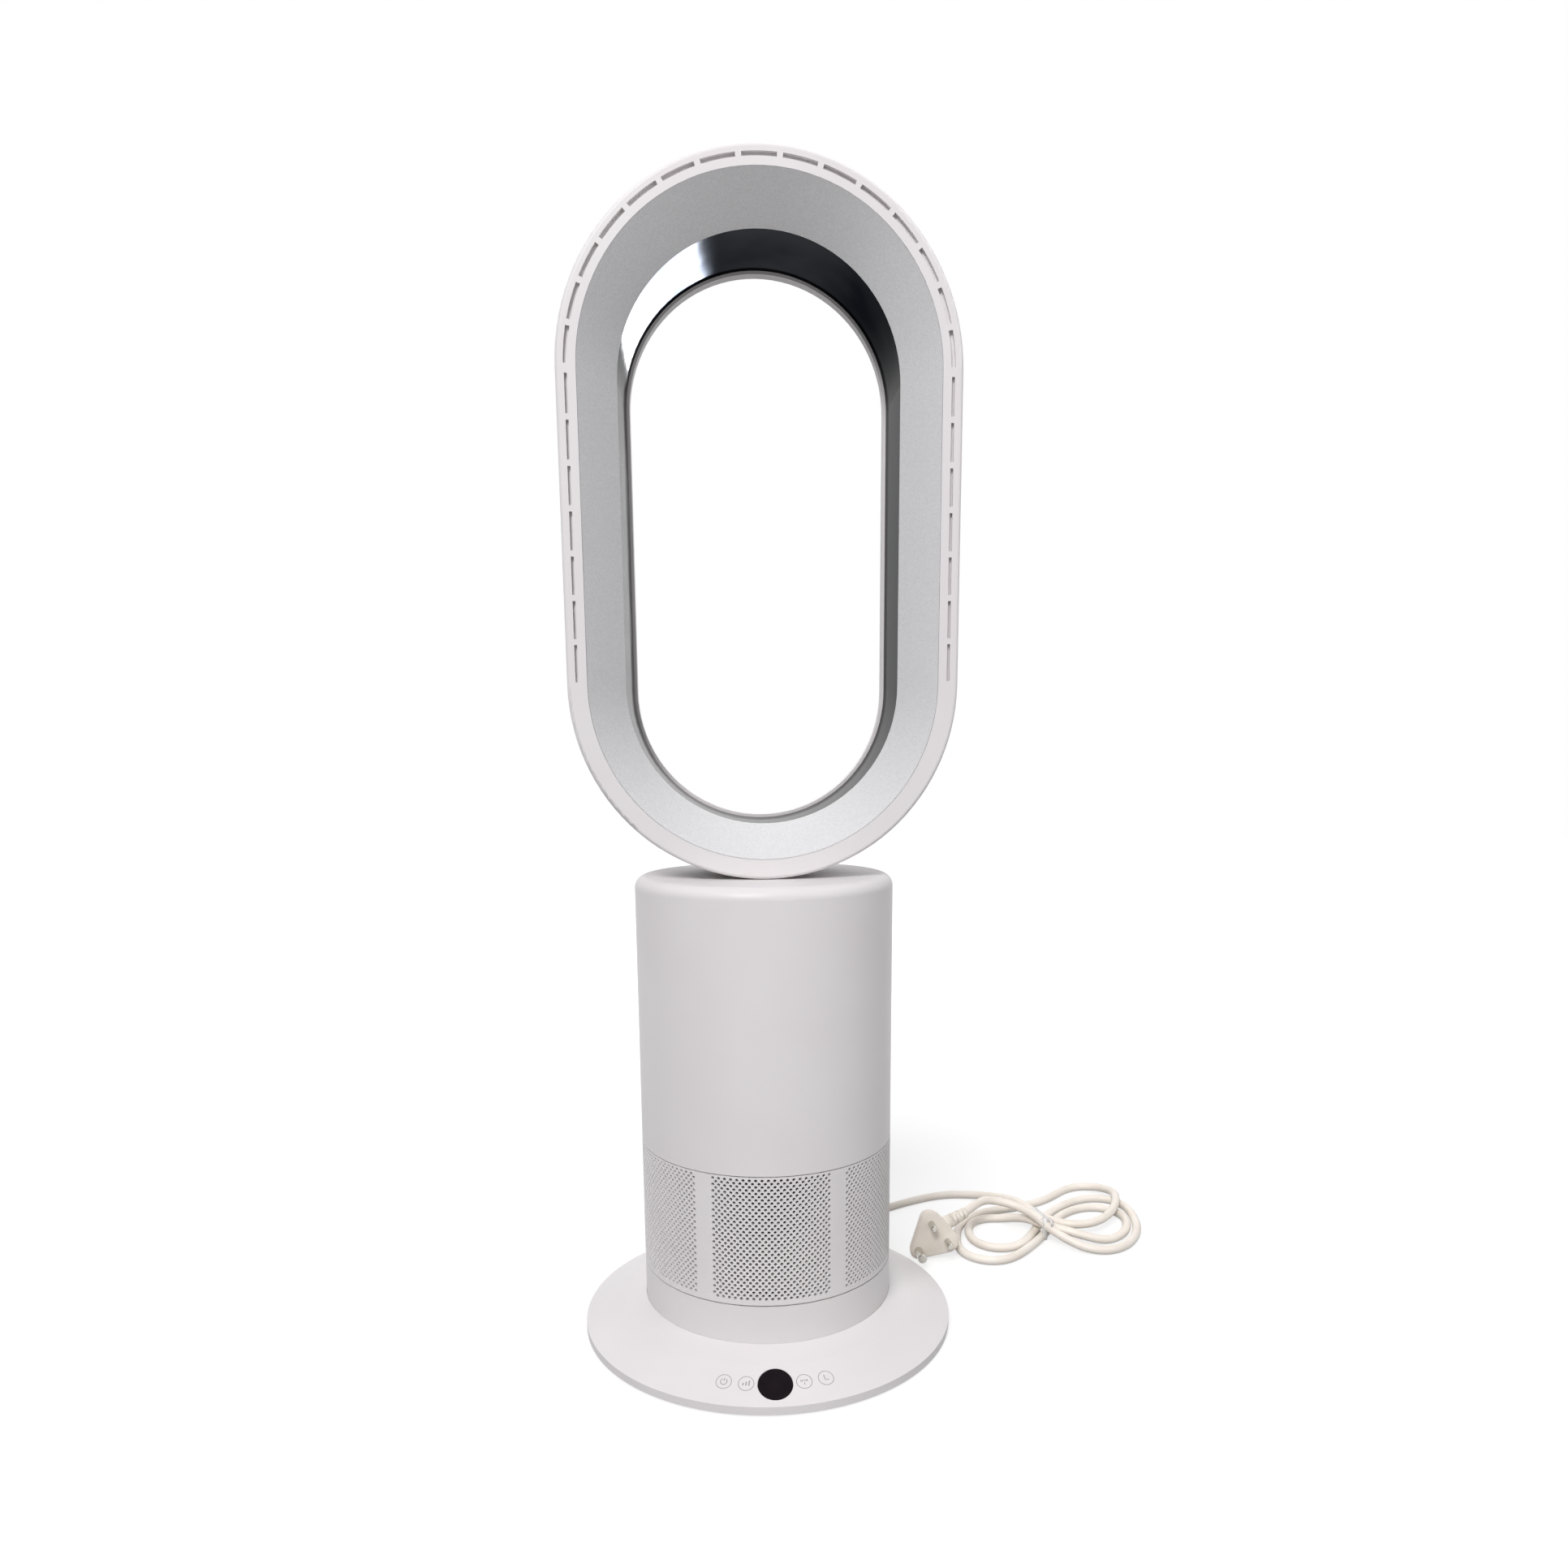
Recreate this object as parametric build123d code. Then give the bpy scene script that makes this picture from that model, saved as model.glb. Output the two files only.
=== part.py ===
from build123d import *
import math
import os

# A bladeless tower fan: a disc base with a touch panel, a round tower that swings on it, an air
# loop on top of the tower, and a mains lead that lies tied up beside it.
# Millimetres, +Z up, origin on the floor under the tower's axis, front towards -Y.

# ---- Base -----------------------------------------------------------------
BASE_BRIM = 42.8  # from the tower's wall out to the base's edge
FOOT_HEIGHT = 1.6  # floor to the underside of the base plate
PLATE_THICKNESS = 2.5
COVER_LIFT = 1.2  # floor to the lower edge of the cover
RIM_HEIGHT = 6.6
DOME_TOP = 24.0  # where the dome meets the foot collar
DOME_BREAK_INSET = 27.0  # from the rim to where the dome's slope eases
DOME_BREAK_HEIGHT = 18.4
COVER_WALL = 2.4
BOSS_RADIUS = 4.0
BASE_BOLT_INSET = 18.0
BASE_BOLT_ANGLES = [-54, 18, 90, 162, 234]
BASE_FOOT_RADIUS = 7.0
BASE_FOOT_INSET = 13.0
BASE_FOOT_ANGLES = [-45, 45, 135, 225]
BALLAST_INSET = 23.0
BALLAST_HEIGHT = 5.0

# ---- Tower ----------------------------------------------------------------
TOWER_RADIUS = 87.2
TOWER_WALL = 2.5
COLLAR_TOP = 49.6
COLLAR_SHELF = 5.0
COLLAR_GAP = 12.0  # passage for wires under the collar
GLIDE_PAD_COUNT = 6
GLIDE_PAD_SIZE = (4.0, 14.0)
RUNNING_SEAM = 0.8  # open joint between the fixed collar and the turning tower
GRILLE_TOP = 137.7
TOWER_TOP = 320.6
TOWER_FILLET = 7.5
TURNTABLE_THICKNESS = 3.5
FIT = 0.2  # gap between pieces that are assembled and then stay put
RUN_GAP = 0.3  # gap between pieces that slide past each other
SHAFT_GAP = 0.05  # radial clearance of a shaft that turns in its bore

# ---- Swing drive ----------------------------------------------------------
POST_RADIUS = 14.0
POST_SHOULDER_RADIUS = 22.0
POST_BORE = 6.0
GEAR_BOTTOM = 28.0
GEAR_FACE = 8.0
GEAR_WEB = 4.0
GEAR_HUB_RADIUS = 20.0
GEAR_FLANGE_RADIUS = 30.0
GEAR_FLANGE_THICKNESS = 3.0
GEAR_MODULE = 1.25
SECTOR_TEETH = 72  # on the full circle
SECTOR_CUT_TEETH = 29  # of these the sector carries this many
PINION_TEETH = 16
PRESSURE_ANGLE = 20.0
ADDENDUM = 0.9  # in modules
DEDENDUM = 1.2
BACKLASH = 0.2
PINION_ANGLE = 135.0
THRUST_WASHER = 1.7
RETAINER_RADIUS = 20.0
RETAINER_THICKNESS = 2.5
GLIDE_PAD_HEIGHT = RUNNING_SEAM - RUN_GAP

# Small geared stepper motor with its shaft off centre
STEPPER_RADIUS = 14.0
STEPPER_HEIGHT = 19.0
STEPPER_OFFSET = 8.0
STEPPER_TOP = 26.5
STEPPER_EAR_SPACING = 35.0
STEPPER_EAR_WIDTH = 7.0
STEPPER_SHAFT_RADIUS = 2.5
STEPPER_SHAFT_DEPTH = 10.0

# ---- Intake grille --------------------------------------------------------
PANEL_COUNT = 6
PANEL_ANGLE = 50.4
GRILLE_COLUMNS = 5
GRILLE_HOLE = (10.0, 18.0)  # across and up
GRILLE_BAR = 5.0  # between one hole and the next above it
GRILLE_MARGIN = 4.0
COLUMN_WIDTH = 8.0
COLUMN_DEPTH = 6.0
FRAME_RING = 3.0

# ---- Air mover ------------------------------------------------------------
BUCKET_INSET = 27.2  # from the tower's wall
BUCKET_WALL = 2.0
BUCKET_TOP = 205.0
BELL_BOTTOM = 84.0
BELL_LIP = 54.0
THROAT_Z = 98.0
THROAT_RADIUS = 45.0
IMPELLER_TOP = 136.0
BLADE_COUNT = 9
BLADE_THICKNESS = 1.6
BLADE_BEND = 46.0  # radius of a blade's curve seen from above
TIP_GAP = 0.8
HUB_NOSE_RADIUS = 14.0
HUB_RADIUS = 36.0
SHAFT_RADIUS = 4.0
SHAFT_DROP = 12.0  # of the shaft's end below the throat
NUT_DROP = 10.0
NUT_HEIGHT = 4.0
NUT_EDGE = 3.5  # from the shaft out to the nut's corners
MOTOR_BOTTOM = 142.0
MOTOR_RADIUS = 24.0
MOTOR_HEIGHT = 40.0
MOTOR_CHAMFER = 2.0
BEARING_RADIUS = 11.0
BEARING_WIDTH = 5.0
DAMPER_WALL = 8.0  # rubber and its clearance between the motor and the cup
CUP_WALL = 2.0
CUP_BOTTOM = 139.0
VANE_COUNT = 11
VANE_HEIGHT = 26.0
VANE_THICKNESS = 1.8
TAIL_LENGTH = 30.0
SUPPORT_THICKNESS = 3.0
SEAL_WIDTH = 4.0
SEAL_LIP = 2.0
DUCT_OVERLAP = 7.0
DUCT_TOP_RADIUS = 50.0

# ---- Neck and air loop ----------------------------------------------------
NECK_LENGTH = 62.0
NECK_WIDTH = 48.0
NECK_WALL = 2.4
NECK_BOTTOM = 300.0
NECK_RISE = 10.5  # above the tower's top
NECK_FLANGE = 7.0
NECK_FLANGE_THICKNESS = 2.5
GASKET_THICKNESS = 1.5
LOOP_HALF_WIDTH = 122.3
LOOP_STRAIGHT = 183.9  # between the centres of the two arcs
LOOP_FRONT = -40.0
LOOP_LIFT = 0.3  # of the loop's lowest line above the tower's top
RIM_WIDTH = 12.8
FUNNEL_DEPTH = 28.0
FUNNEL_STEP = 21.4
FUNNEL_WALL = 2.0
BAND_DEPTH = 57.0
BAND_TAPER = 0.9
BAND_WALL = 1.5
LIP_DEPTH = 7.8
LIP_STEP = 1.9
LOOP_WALL = 2.4
FRONT_FILLET = 2.5
REAR_FILLET = 10.0
FRONT_SKIRT = 13.0
SLOT_WIDTH = 2.6
SIDE_SLOT_WIDTH = 1.8
SLOT_STEP_ANGLE = 12.0
SLOT_BRIDGE = 3.6
SLOTS_EACH_SIDE_ON_ARC = 7
SLOTS_ON_STRAIGHT = 7

# ---- Touch panel ----------------------------------------------------------
DISPLAY_RADIUS = 11.0
DISPLAY_INSET = 14.5
DISPLAY_PROUD = 0.5
DISPLAY_MODULE = 15.0
DISPLAY_MODULE_DEPTH = 2.4
TOUCH_INSET = 7.0
TOUCH_DEPTH = 20.0
TOUCH_ANGLE = 44.0
TOUCH_THICKNESS = 1.2

# ---- Boards ---------------------------------------------------------------
BOARD_THICKNESS = 1.6
POWER_BOARD = (70.0, 30.0)
POWER_BOARD_INSET = 35.2  # of its middle from the tower's wall
POWER_BOARD_Z = 11.0
MOTOR_BOARD = (50.0, 32.0)
MOTOR_BOARD_INSET = 37.2
# Blocks on the boards: x, y from the board's middle, size, height
POWER_PARTS = [(-20.0, 0.0, (20.0, 18.0), 11.0), (4.0, 4.0, (12.0, 12.0), 9.0), (24.0, -3.0, (10.0, 16.0), 8.0)]
MOTOR_PARTS = [(-12.0, 0.0, (14.0, 14.0), 7.0), (8.0, 5.0, (16.0, 8.0), 4.0), (12.0, -8.0, (8.0, 8.0), 9.0)]
STANDOFF_HEIGHT = 6.0
STANDOFF_RADIUS = 3.0

# ---- Screws ---------------------------------------------------------------
SCREW_RADIUS = 1.4
SCREW_HEAD_RADIUS = 2.7
SCREW_HEAD = 1.3
SCREW_CLEARANCE = 0.1
SCREW_HEAD_SIDES = 10
SCREW_SHANK_SIDES = 6
SCREW_LENGTH_BASE = 6.5
SCREW_LENGTH_RETAINER = 9.0
SCREW_LENGTH_FRAME = 12.0

# ---- Mains lead -----------------------------------------------------------
CORD_RADIUS = 3.5
GLAND_ANGLE = 59.0  # of the lead's exit, from +X
GLAND_Z = 7.2
GLAND_RADIUS = 5.4
GLAND_TIP_RADIUS = 4.3
GLAND_TUCK = 16.0  # in from the rim
GLAND_REACH = 24.0  # out from the rim
HANK_HEIGHT = 18.0
HANK_LIFT = 0.2
HANK_ROUND = 12.0
LEAD_POINTS = [
    (91.2, 151.8, 4.6),
    (111.0, 167.5, 3.7),
    (142.0, 186.6, 3.7),
    (170.5, 198.5, 3.7),
    (199.0, 197.0, 3.9),
    (221.0, 179.5, 6.0),
    (231.5, 155.0, 10.5),
]
HANK_OUTLINE = [
    (158.0, 88.0),
    (167.0, 127.0),
    (190.0, 150.0),
    (228.0, 153.0),
    (260.0, 166.0),
    (294.0, 189.0),
    (312.0, 170.0),
    (312.0, 126.0),
    (296.0, 79.0),
    (274.0, 56.0),
    (243.0, 76.0),
    (214.0, 74.0),
    (182.0, 48.0),
    (161.0, 50.0),
]
TIE_CENTRE = (234.0, 112.0)
TIE_ANGLE = 35.0
TIE_SIZE = (9.0, 34.0, 2.0)
TAIL_POINTS = [
    (183.0, 116.3, 27.3),
    (199.3, 132.6, 20.8),
    (215.1, 144.0, 10.7),
]

# Plug with three round pins, seen from its face: live and neutral side by side, earth below
PLUG_MIDDLE = (140.0, 74.0, 22.6)
PLUG_OUT = (-0.017, -0.989, 0.145)
PLUG_ACROSS = (0.654, 0.0, -0.757)
PIN_SPACING = 19.05
PIN_RADIUS = 2.54
PIN_LENGTH = 14.9
EARTH_DROP = 22.23
EARTH_RADIUS = 3.53
EARTH_LENGTH = 20.6
PIN_ROUND = 0.8
PIN_ROOT = 8.0  # moulded into the body
PIN_STEP = 0.6  # by which the root is thinner than the pin
PLUG_SHOULDER = 9.5
PLUG_APEX = 6.6
PLUG_DEPTH = 22.0
PLUG_BACK_INSET = 3.2
RELIEF_DIRECTION = (0.78, 0.62, 0.08)
RELIEF_START = (0.0, 3.0, -10.0)
RELIEF_LENGTH = 31.0
RELIEF_RADIUS = 6.2
RELIEF_TIP_RADIUS = 4.4
RELIEF_GROOVES = 3
RELIEF_GROOVE_WIDTH = 1.6
RELIEF_GROOVE_DEPTH = 1.2

# ---- Worked out from the sizes above ---------------------------------------
PLATE_TOP = FOOT_HEIGHT + PLATE_THICKNESS
BASE_RADIUS = TOWER_RADIUS + BASE_BRIM
BASE_BOLT_RADIUS = BASE_RADIUS - BASE_BOLT_INSET
BASE_FOOT_CIRCLE = BASE_RADIUS - BASE_FOOT_INSET
DISPLAY_CIRCLE = BASE_RADIUS - DISPLAY_INSET
TOUCH_OUTER = BASE_RADIUS - TOUCH_INSET
POWER_BOARD_Y = POWER_BOARD_INSET - TOWER_RADIUS
MOTOR_BOARD_Y = TOWER_RADIUS - MOTOR_BOARD_INSET
BUCKET_RADIUS = TOWER_RADIUS - BUCKET_INSET
COVER_INNER = BASE_RADIUS - COVER_WALL
COLLAR_INNER = TOWER_RADIUS - TOWER_WALL
TURNTABLE_BOTTOM = COLLAR_TOP + RUNNING_SEAM
TURNTABLE_TOP = TURNTABLE_BOTTOM + TURNTABLE_THICKNESS
POST_TOP = TURNTABLE_TOP + RUN_GAP
SHOULDER_TOP = GEAR_BOTTOM - RUN_GAP - THRUST_WASHER
SECTOR_PITCH = GEAR_MODULE * SECTOR_TEETH / 2
PINION_PITCH = GEAR_MODULE * PINION_TEETH / 2
PINION_X = (SECTOR_PITCH + PINION_PITCH) * math.cos(math.radians(PINION_ANGLE))
PINION_Y = (SECTOR_PITCH + PINION_PITCH) * math.sin(math.radians(PINION_ANGLE))
STEPPER_CIRCLE = SECTOR_PITCH + PINION_PITCH + STEPPER_OFFSET
FRAME_TOP = GRILLE_TOP + FIT
SUPPORT_TOP = FRAME_TOP + SUPPORT_THICKNESS
BUCKET_OUTER = BUCKET_RADIUS + BUCKET_WALL
SUPPORT_BORE = BUCKET_OUTER + SEAL_WIDTH
FLANGE_RADIUS = SUPPORT_BORE + 2 * SEAL_LIP
MOTOR_TOP = MOTOR_BOTTOM + MOTOR_HEIGHT
CUP_TOP = MOTOR_TOP + SEAL_LIP
CUP_RADIUS = MOTOR_RADIUS + DAMPER_WALL + CUP_WALL
NECK_TOP = TOWER_TOP + NECK_RISE
LOOP_BOTTOM_ARC = TOWER_TOP + LOOP_LIFT + LOOP_HALF_WIDTH
LOOP_TOP_ARC = LOOP_BOTTOM_ARC + LOOP_STRAIGHT
LOOP_HEIGHT = LOOP_TOP_ARC + LOOP_HALF_WIDTH
FUNNEL_OUTER = LOOP_HALF_WIDTH - RIM_WIDTH
FUNNEL_BACK = LOOP_FRONT + FUNNEL_DEPTH
BAND_FRONT = FUNNEL_OUTER - FUNNEL_STEP
BAND_BACK = FUNNEL_BACK + BAND_DEPTH
BAND_REAR = BAND_FRONT - BAND_TAPER
LIP_INNER = BAND_REAR - LIP_STEP
LOOP_REAR = BAND_BACK + LIP_DEPTH
NECK_Y = (LOOP_FRONT + LOOP_REAR) / 2
SLOT_CIRCLE = LOOP_HALF_WIDTH - RIM_WIDTH / 2
GLAND_OUTER = BASE_RADIUS + GLAND_REACH
COLUMN_ANGLES = [-60 + 360 / PANEL_COUNT * i for i in range(PANEL_COUNT)]
BOTTOM = (Align.CENTER, Align.CENTER, Align.MIN)


def disc(radius, low, high):
    return Pos(0, 0, low) * Cylinder(radius, high - low, align=BOTTOM)


def ring(outer, inner, low, high):
    return disc(outer, low, high) - disc(inner, low - 1, high + 1)


def post(x, y, radius, low, high):
    return Pos(x, y, low) * Cylinder(radius, high - low, align=BOTTOM)


def block(x, y, size, low, high):
    return Pos(x, y, low) * Box(size[0], size[1], high - low, align=BOTTOM)


def polar(radius, degrees):
    return radius * math.cos(math.radians(degrees)), radius * math.sin(math.radians(degrees))


def on_circle(solid, degrees):
    """Copies of a solid, turned about the tower's axis."""
    return [Rot(0, 0, angle) * solid for angle in degrees]


def turned(points, angle=360):
    """A solid turned from a straight-sided outline of (radius, height) points."""
    outline = make_face(Polyline([(r, 0, z) for r, z in points], close=True))
    return revolve(outline, Axis.Z, angle)


def obround(length, width, low, high, y=0.0):
    slot = Plane.XY.offset(low) * Pos(0, y) * SlotOverall(length, width)
    return extrude(slot, high - low)


def prism(x, y, radius, sides, low, high):
    return extrude(Pos(x, y, low) * RegularPolygon(radius, sides), high - low)


def screw(x, y, under_head, length, up=1):
    """A pan-head screw in few faces; up is 1 with its head on top and -1 with its head below."""
    head_low = under_head if up > 0 else under_head - SCREW_HEAD
    shank_low = under_head - length if up > 0 else under_head
    head = prism(x, y, SCREW_HEAD_RADIUS, SCREW_HEAD_SIDES, head_low, head_low + SCREW_HEAD)
    return head + prism(x, y, SCREW_RADIUS, SCREW_SHANK_SIDES, shank_low, shank_low + length)


def screw_hole(x, y, low, high):
    return prism(x, y, SCREW_RADIUS + SCREW_CLEARANCE, SCREW_SHANK_SIDES, low, high)


# ---- Base -----------------------------------------------------------------
def dome_line(drop):
    """The dome's (radius, height) points from the rim up to the foot collar, lowered by drop."""
    points = [
        (BASE_RADIUS, RIM_HEIGHT),
        (BASE_RADIUS - DOME_BREAK_INSET, DOME_BREAK_HEIGHT),
        (TOWER_RADIUS + FIT, DOME_TOP),
    ]
    return [(r, z - drop) for r, z in points]


def dome_layer(top_drop, bottom_drop, angle=360):
    """The solid between two lowered copies of the dome."""
    return turned(dome_line(top_drop) + dome_line(bottom_drop)[::-1], angle)


def display_plane():
    """On the dome's surface at the display's centre, with +Z out of the dome."""
    (rim, low), (inner, high) = dome_line(0)[:2]
    slope = math.atan2(high - low, rim - inner)
    height = low + (rim - DISPLAY_CIRCLE) * math.tan(slope)
    out = (0, -math.sin(slope), math.cos(slope))
    return Plane(origin=(0, -DISPLAY_CIRCLE, height), x_dir=(1, 0, 0), z_dir=out)


def cover_line():
    """The cover's section: an upright rim and the dome above it."""
    foot, *under = dome_line(COVER_WALL)
    slope = (under[0][1] - foot[1]) / (foot[0] - under[0][0])
    corner = (COVER_INNER, foot[1] + COVER_WALL * slope)
    edge = [(COVER_INNER, COVER_LIFT), (BASE_RADIUS, COVER_LIFT)]
    return edge + dome_line(0) + under[::-1] + [corner]


def base_cover():
    shell = turned(cover_line())
    under_dome = dome_layer(COVER_WALL / 2, DOME_TOP)
    bolt = post(BASE_BOLT_RADIUS, 0, BOSS_RADIUS, PLATE_TOP, DOME_TOP) & under_dome
    bolt -= screw_hole(BASE_BOLT_RADIUS, 0, 0, PLATE_TOP + SCREW_LENGTH_BASE)
    shell += on_circle(bolt, BASE_BOLT_ANGLES)
    window = display_plane() * Cylinder(DISPLAY_RADIUS + FIT, 4 * COVER_WALL)
    return shell - window - gland_notch()


def base_plate():
    plate = disc(COVER_INNER - FIT, FOOT_HEIGHT, PLATE_TOP)
    shoulder = disc(POST_SHOULDER_RADIUS, PLATE_TOP, SHOULDER_TOP)
    plate = plate + shoulder + disc(POST_RADIUS, SHOULDER_TOP, POST_TOP)
    half_x, half_y = POWER_BOARD[0] / 2 - 4, POWER_BOARD[1] / 2 - 4
    for x in (-half_x, half_x):
        for y in (POWER_BOARD_Y - half_y, POWER_BOARD_Y + half_y):
            plate += post(x, y, STANDOFF_RADIUS, PLATE_TOP, POWER_BOARD_Z)
    for x, y in stepper_ear_spots():
        boss = post(x, y, STANDOFF_RADIUS, PLATE_TOP, STEPPER_TOP - 1)
        plate += boss - screw_hole(x, y, PLATE_TOP, STEPPER_TOP)
    plate -= disc(POST_BORE, PLATE_TOP, POST_TOP + 1)
    plate -= on_circle(screw_hole(BASE_BOLT_RADIUS, 0, 0, PLATE_TOP + 1), BASE_BOLT_ANGLES)
    for x, y in retainer_spots():
        plate -= screw_hole(x, y, POST_TOP - SCREW_LENGTH_RETAINER, POST_TOP + 1)
    return plate - gland_notch()


def foot_collar():
    collar = ring(TOWER_RADIUS, COLLAR_INNER, PLATE_TOP, COLLAR_TOP)
    collar += ring(COLLAR_INNER, COLLAR_INNER - COLLAR_SHELF, COLLAR_TOP - TOWER_WALL, COLLAR_TOP)
    gap = block(0, 0, (COLLAR_GAP, 2 * BASE_RADIUS), PLATE_TOP - 1, PLATE_TOP + COLLAR_GAP / 2)
    return collar - Rot(0, 0, GLAND_ANGLE - 90) * gap - gap


def glide_pads():
    middle = COLLAR_INNER - COLLAR_SHELF / 2
    pad = block(middle, 0, GLIDE_PAD_SIZE, COLLAR_TOP, COLLAR_TOP + GLIDE_PAD_HEIGHT)
    return on_circle(pad, [360 / GLIDE_PAD_COUNT * i for i in range(GLIDE_PAD_COUNT)])


def ballast_ring():
    outer = BASE_RADIUS - BALLAST_INSET
    return ring(outer, TOWER_RADIUS + 1, PLATE_TOP, PLATE_TOP + BALLAST_HEIGHT)


def rubber_feet():
    pad = post(BASE_FOOT_CIRCLE, 0, BASE_FOOT_RADIUS, 0, FOOT_HEIGHT)
    return on_circle(pad, BASE_FOOT_ANGLES)


def base_screws():
    one = screw(BASE_BOLT_RADIUS, 0, FOOT_HEIGHT, SCREW_LENGTH_BASE, up=-1)
    return on_circle(one, BASE_BOLT_ANGLES)


# ---- Touch panel ----------------------------------------------------------
def display_lens():
    low = COVER_WALL + DISPLAY_PROUD
    lens = Cylinder(DISPLAY_RADIUS, low, align=(Align.CENTER, Align.CENTER, Align.MAX))
    lens = chamfer(lens.edges().group_by(Axis.Z)[-1], DISPLAY_PROUD)
    return display_plane() * Pos(0, 0, DISPLAY_PROUD) * lens


def display_module():
    size = (DISPLAY_MODULE, DISPLAY_MODULE, DISPLAY_MODULE_DEPTH)
    body = Box(*size, align=(Align.CENTER, Align.CENTER, Align.MAX))
    return display_plane() * Pos(0, 0, -COVER_WALL) * body


def touch_board():
    board = dome_layer(COVER_WALL + FIT, COVER_WALL + FIT + TOUCH_THICKNESS, TOUCH_ANGLE)
    board = Rot(0, 0, -90 - TOUCH_ANGLE / 2) * board
    board &= ring(TOUCH_OUTER, TOUCH_OUTER - TOUCH_DEPTH, 0, DOME_TOP)
    window = DISPLAY_MODULE + 2 * FIT
    return board - display_plane() * Box(window, window, 8 * COVER_WALL)


# ---- Boards ---------------------------------------------------------------
def board(size, y, low, parts):
    """A circuit board with blocks for its parts, each (x, y, size, height) on the board."""
    top = low + BOARD_THICKNESS
    solid = block(0, y, size, low, top)
    for part_x, part_y, part_size, height in parts:
        solid += block(part_x, y + part_y, part_size, top, top + height)
    return solid


def power_board():
    return board(POWER_BOARD, POWER_BOARD_Y, POWER_BOARD_Z, POWER_PARTS)


def motor_board():
    return board(MOTOR_BOARD, MOTOR_BOARD_Y, TURNTABLE_TOP + STANDOFF_HEIGHT, MOTOR_PARTS)


# ---- Swing drive ----------------------------------------------------------
def involute(angle):
    return math.tan(angle) - angle


def tooth_half_angle(radius, teeth):
    """Half a tooth's width at a radius, in degrees."""
    pitch = GEAR_MODULE * teeth / 2
    base = pitch * math.cos(math.radians(PRESSURE_ANGLE))
    at_pitch = math.pi / 2 / teeth - BACKLASH / 4 / pitch
    spread = involute(math.radians(PRESSURE_ANGLE)) - involute(math.acos(min(1, base / radius)))
    return math.degrees(at_pitch + spread)


def tooth_edges(teeth, centre, next_centre):
    """One tooth's outline from its first root to the next tooth's first root."""
    pitch = GEAR_MODULE * teeth / 2
    tip, root = pitch + ADDENDUM * GEAR_MODULE, pitch - DEDENDUM * GEAR_MODULE
    foot = max(root, pitch * math.cos(math.radians(PRESSURE_ANGLE)))
    radii = (foot, (foot + tip) / 2, tip)
    half = [tooth_half_angle(r, teeth) for r in radii]
    rise = [polar(r, centre - h) for r, h in zip(radii, half)]
    fall = [polar(r, centre + h) for r, h in zip(reversed(radii), reversed(half))]
    edges = [ThreePointArc(*rise), ThreePointArc(rise[2], polar(tip, centre), fall[0])]
    edges.append(ThreePointArc(*fall))
    first_root = polar(root, centre - half[0])
    last_root = polar(root, centre + half[0])
    if foot > root:
        edges.insert(0, Line(first_root, rise[0]))
        edges.append(Line(fall[2], last_root))
    if next_centre is not None:
        middle = polar(root, (centre + next_centre) / 2)
        edges.append(ThreePointArc(last_root, middle, polar(root, next_centre - half[0])))
    return edges, first_root, last_root


def drive_pinion():
    step = 360 / PINION_TEETH
    edges = []
    for i in range(PINION_TEETH):
        centre = PINION_ANGLE + 180 + (i + 0.5) * step
        edges += tooth_edges(PINION_TEETH, centre, centre + step)[0]
    face = make_face(edges)
    pinion = extrude(Plane.XY.offset(GEAR_BOTTOM) * face, GEAR_FACE)
    pinion += disc(PINION_PITCH / 2, GEAR_BOTTOM - 1, GEAR_BOTTOM)
    pinion -= disc(STEPPER_SHAFT_RADIUS, 0, TOWER_TOP)
    return Pos(PINION_X, PINION_Y) * pinion


def pinion_shaft():
    low = STEPPER_TOP - STEPPER_SHAFT_DEPTH
    return post(PINION_X, PINION_Y, STEPPER_SHAFT_RADIUS, low + RUN_GAP, GEAR_BOTTOM + GEAR_FACE + 1)


def sector_gear():
    step = 360 / SECTOR_TEETH
    half = SECTOR_CUT_TEETH // 2
    edges, start, end = [], None, None
    for i in range(-half, half + 1):
        centre = PINION_ANGLE + i * step
        follows = centre + step if i < half else None
        tooth, first_root, end = tooth_edges(SECTOR_TEETH, centre, follows)
        start = start or first_root
        edges += tooth
    edges += [Line(end, (0, 0)), Line((0, 0), start)]
    teeth = extrude(Plane.XY.offset(GEAR_BOTTOM) * make_face(edges), GEAR_FACE)
    relief = ring(SECTOR_PITCH - 4 * GEAR_MODULE, GEAR_HUB_RADIUS, GEAR_BOTTOM + GEAR_WEB, TOWER_TOP)
    gear = teeth - relief + disc(GEAR_HUB_RADIUS, GEAR_BOTTOM, TURNTABLE_BOTTOM)
    gear += disc(GEAR_FLANGE_RADIUS, TURNTABLE_BOTTOM - GEAR_FLANGE_THICKNESS, TURNTABLE_BOTTOM)
    gear -= disc(POST_RADIUS + SHAFT_GAP, 0, TOWER_TOP)
    for x, y in gear_screw_spots():
        gear -= screw_hole(x, y, GEAR_BOTTOM, TURNTABLE_BOTTOM + 1)
    return gear


def gear_screw_spots():
    circle = (GEAR_HUB_RADIUS + GEAR_FLANGE_RADIUS) / 2
    return [polar(circle, 45 + 90 * i) for i in range(4)]


def gear_screws():
    length = TURNTABLE_THICKNESS + GEAR_FLANGE_THICKNESS - 0.5
    return [screw(x, y, TURNTABLE_TOP, length) for x, y in gear_screw_spots()]


def stepper_spot():
    return polar(STEPPER_CIRCLE, PINION_ANGLE)


def stepper_ear_spots():
    x, y = stepper_spot()
    across = polar(STEPPER_EAR_SPACING / 2, PINION_ANGLE + 90)
    return [(x + across[0], y + across[1]), (x - across[0], y - across[1])]


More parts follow.
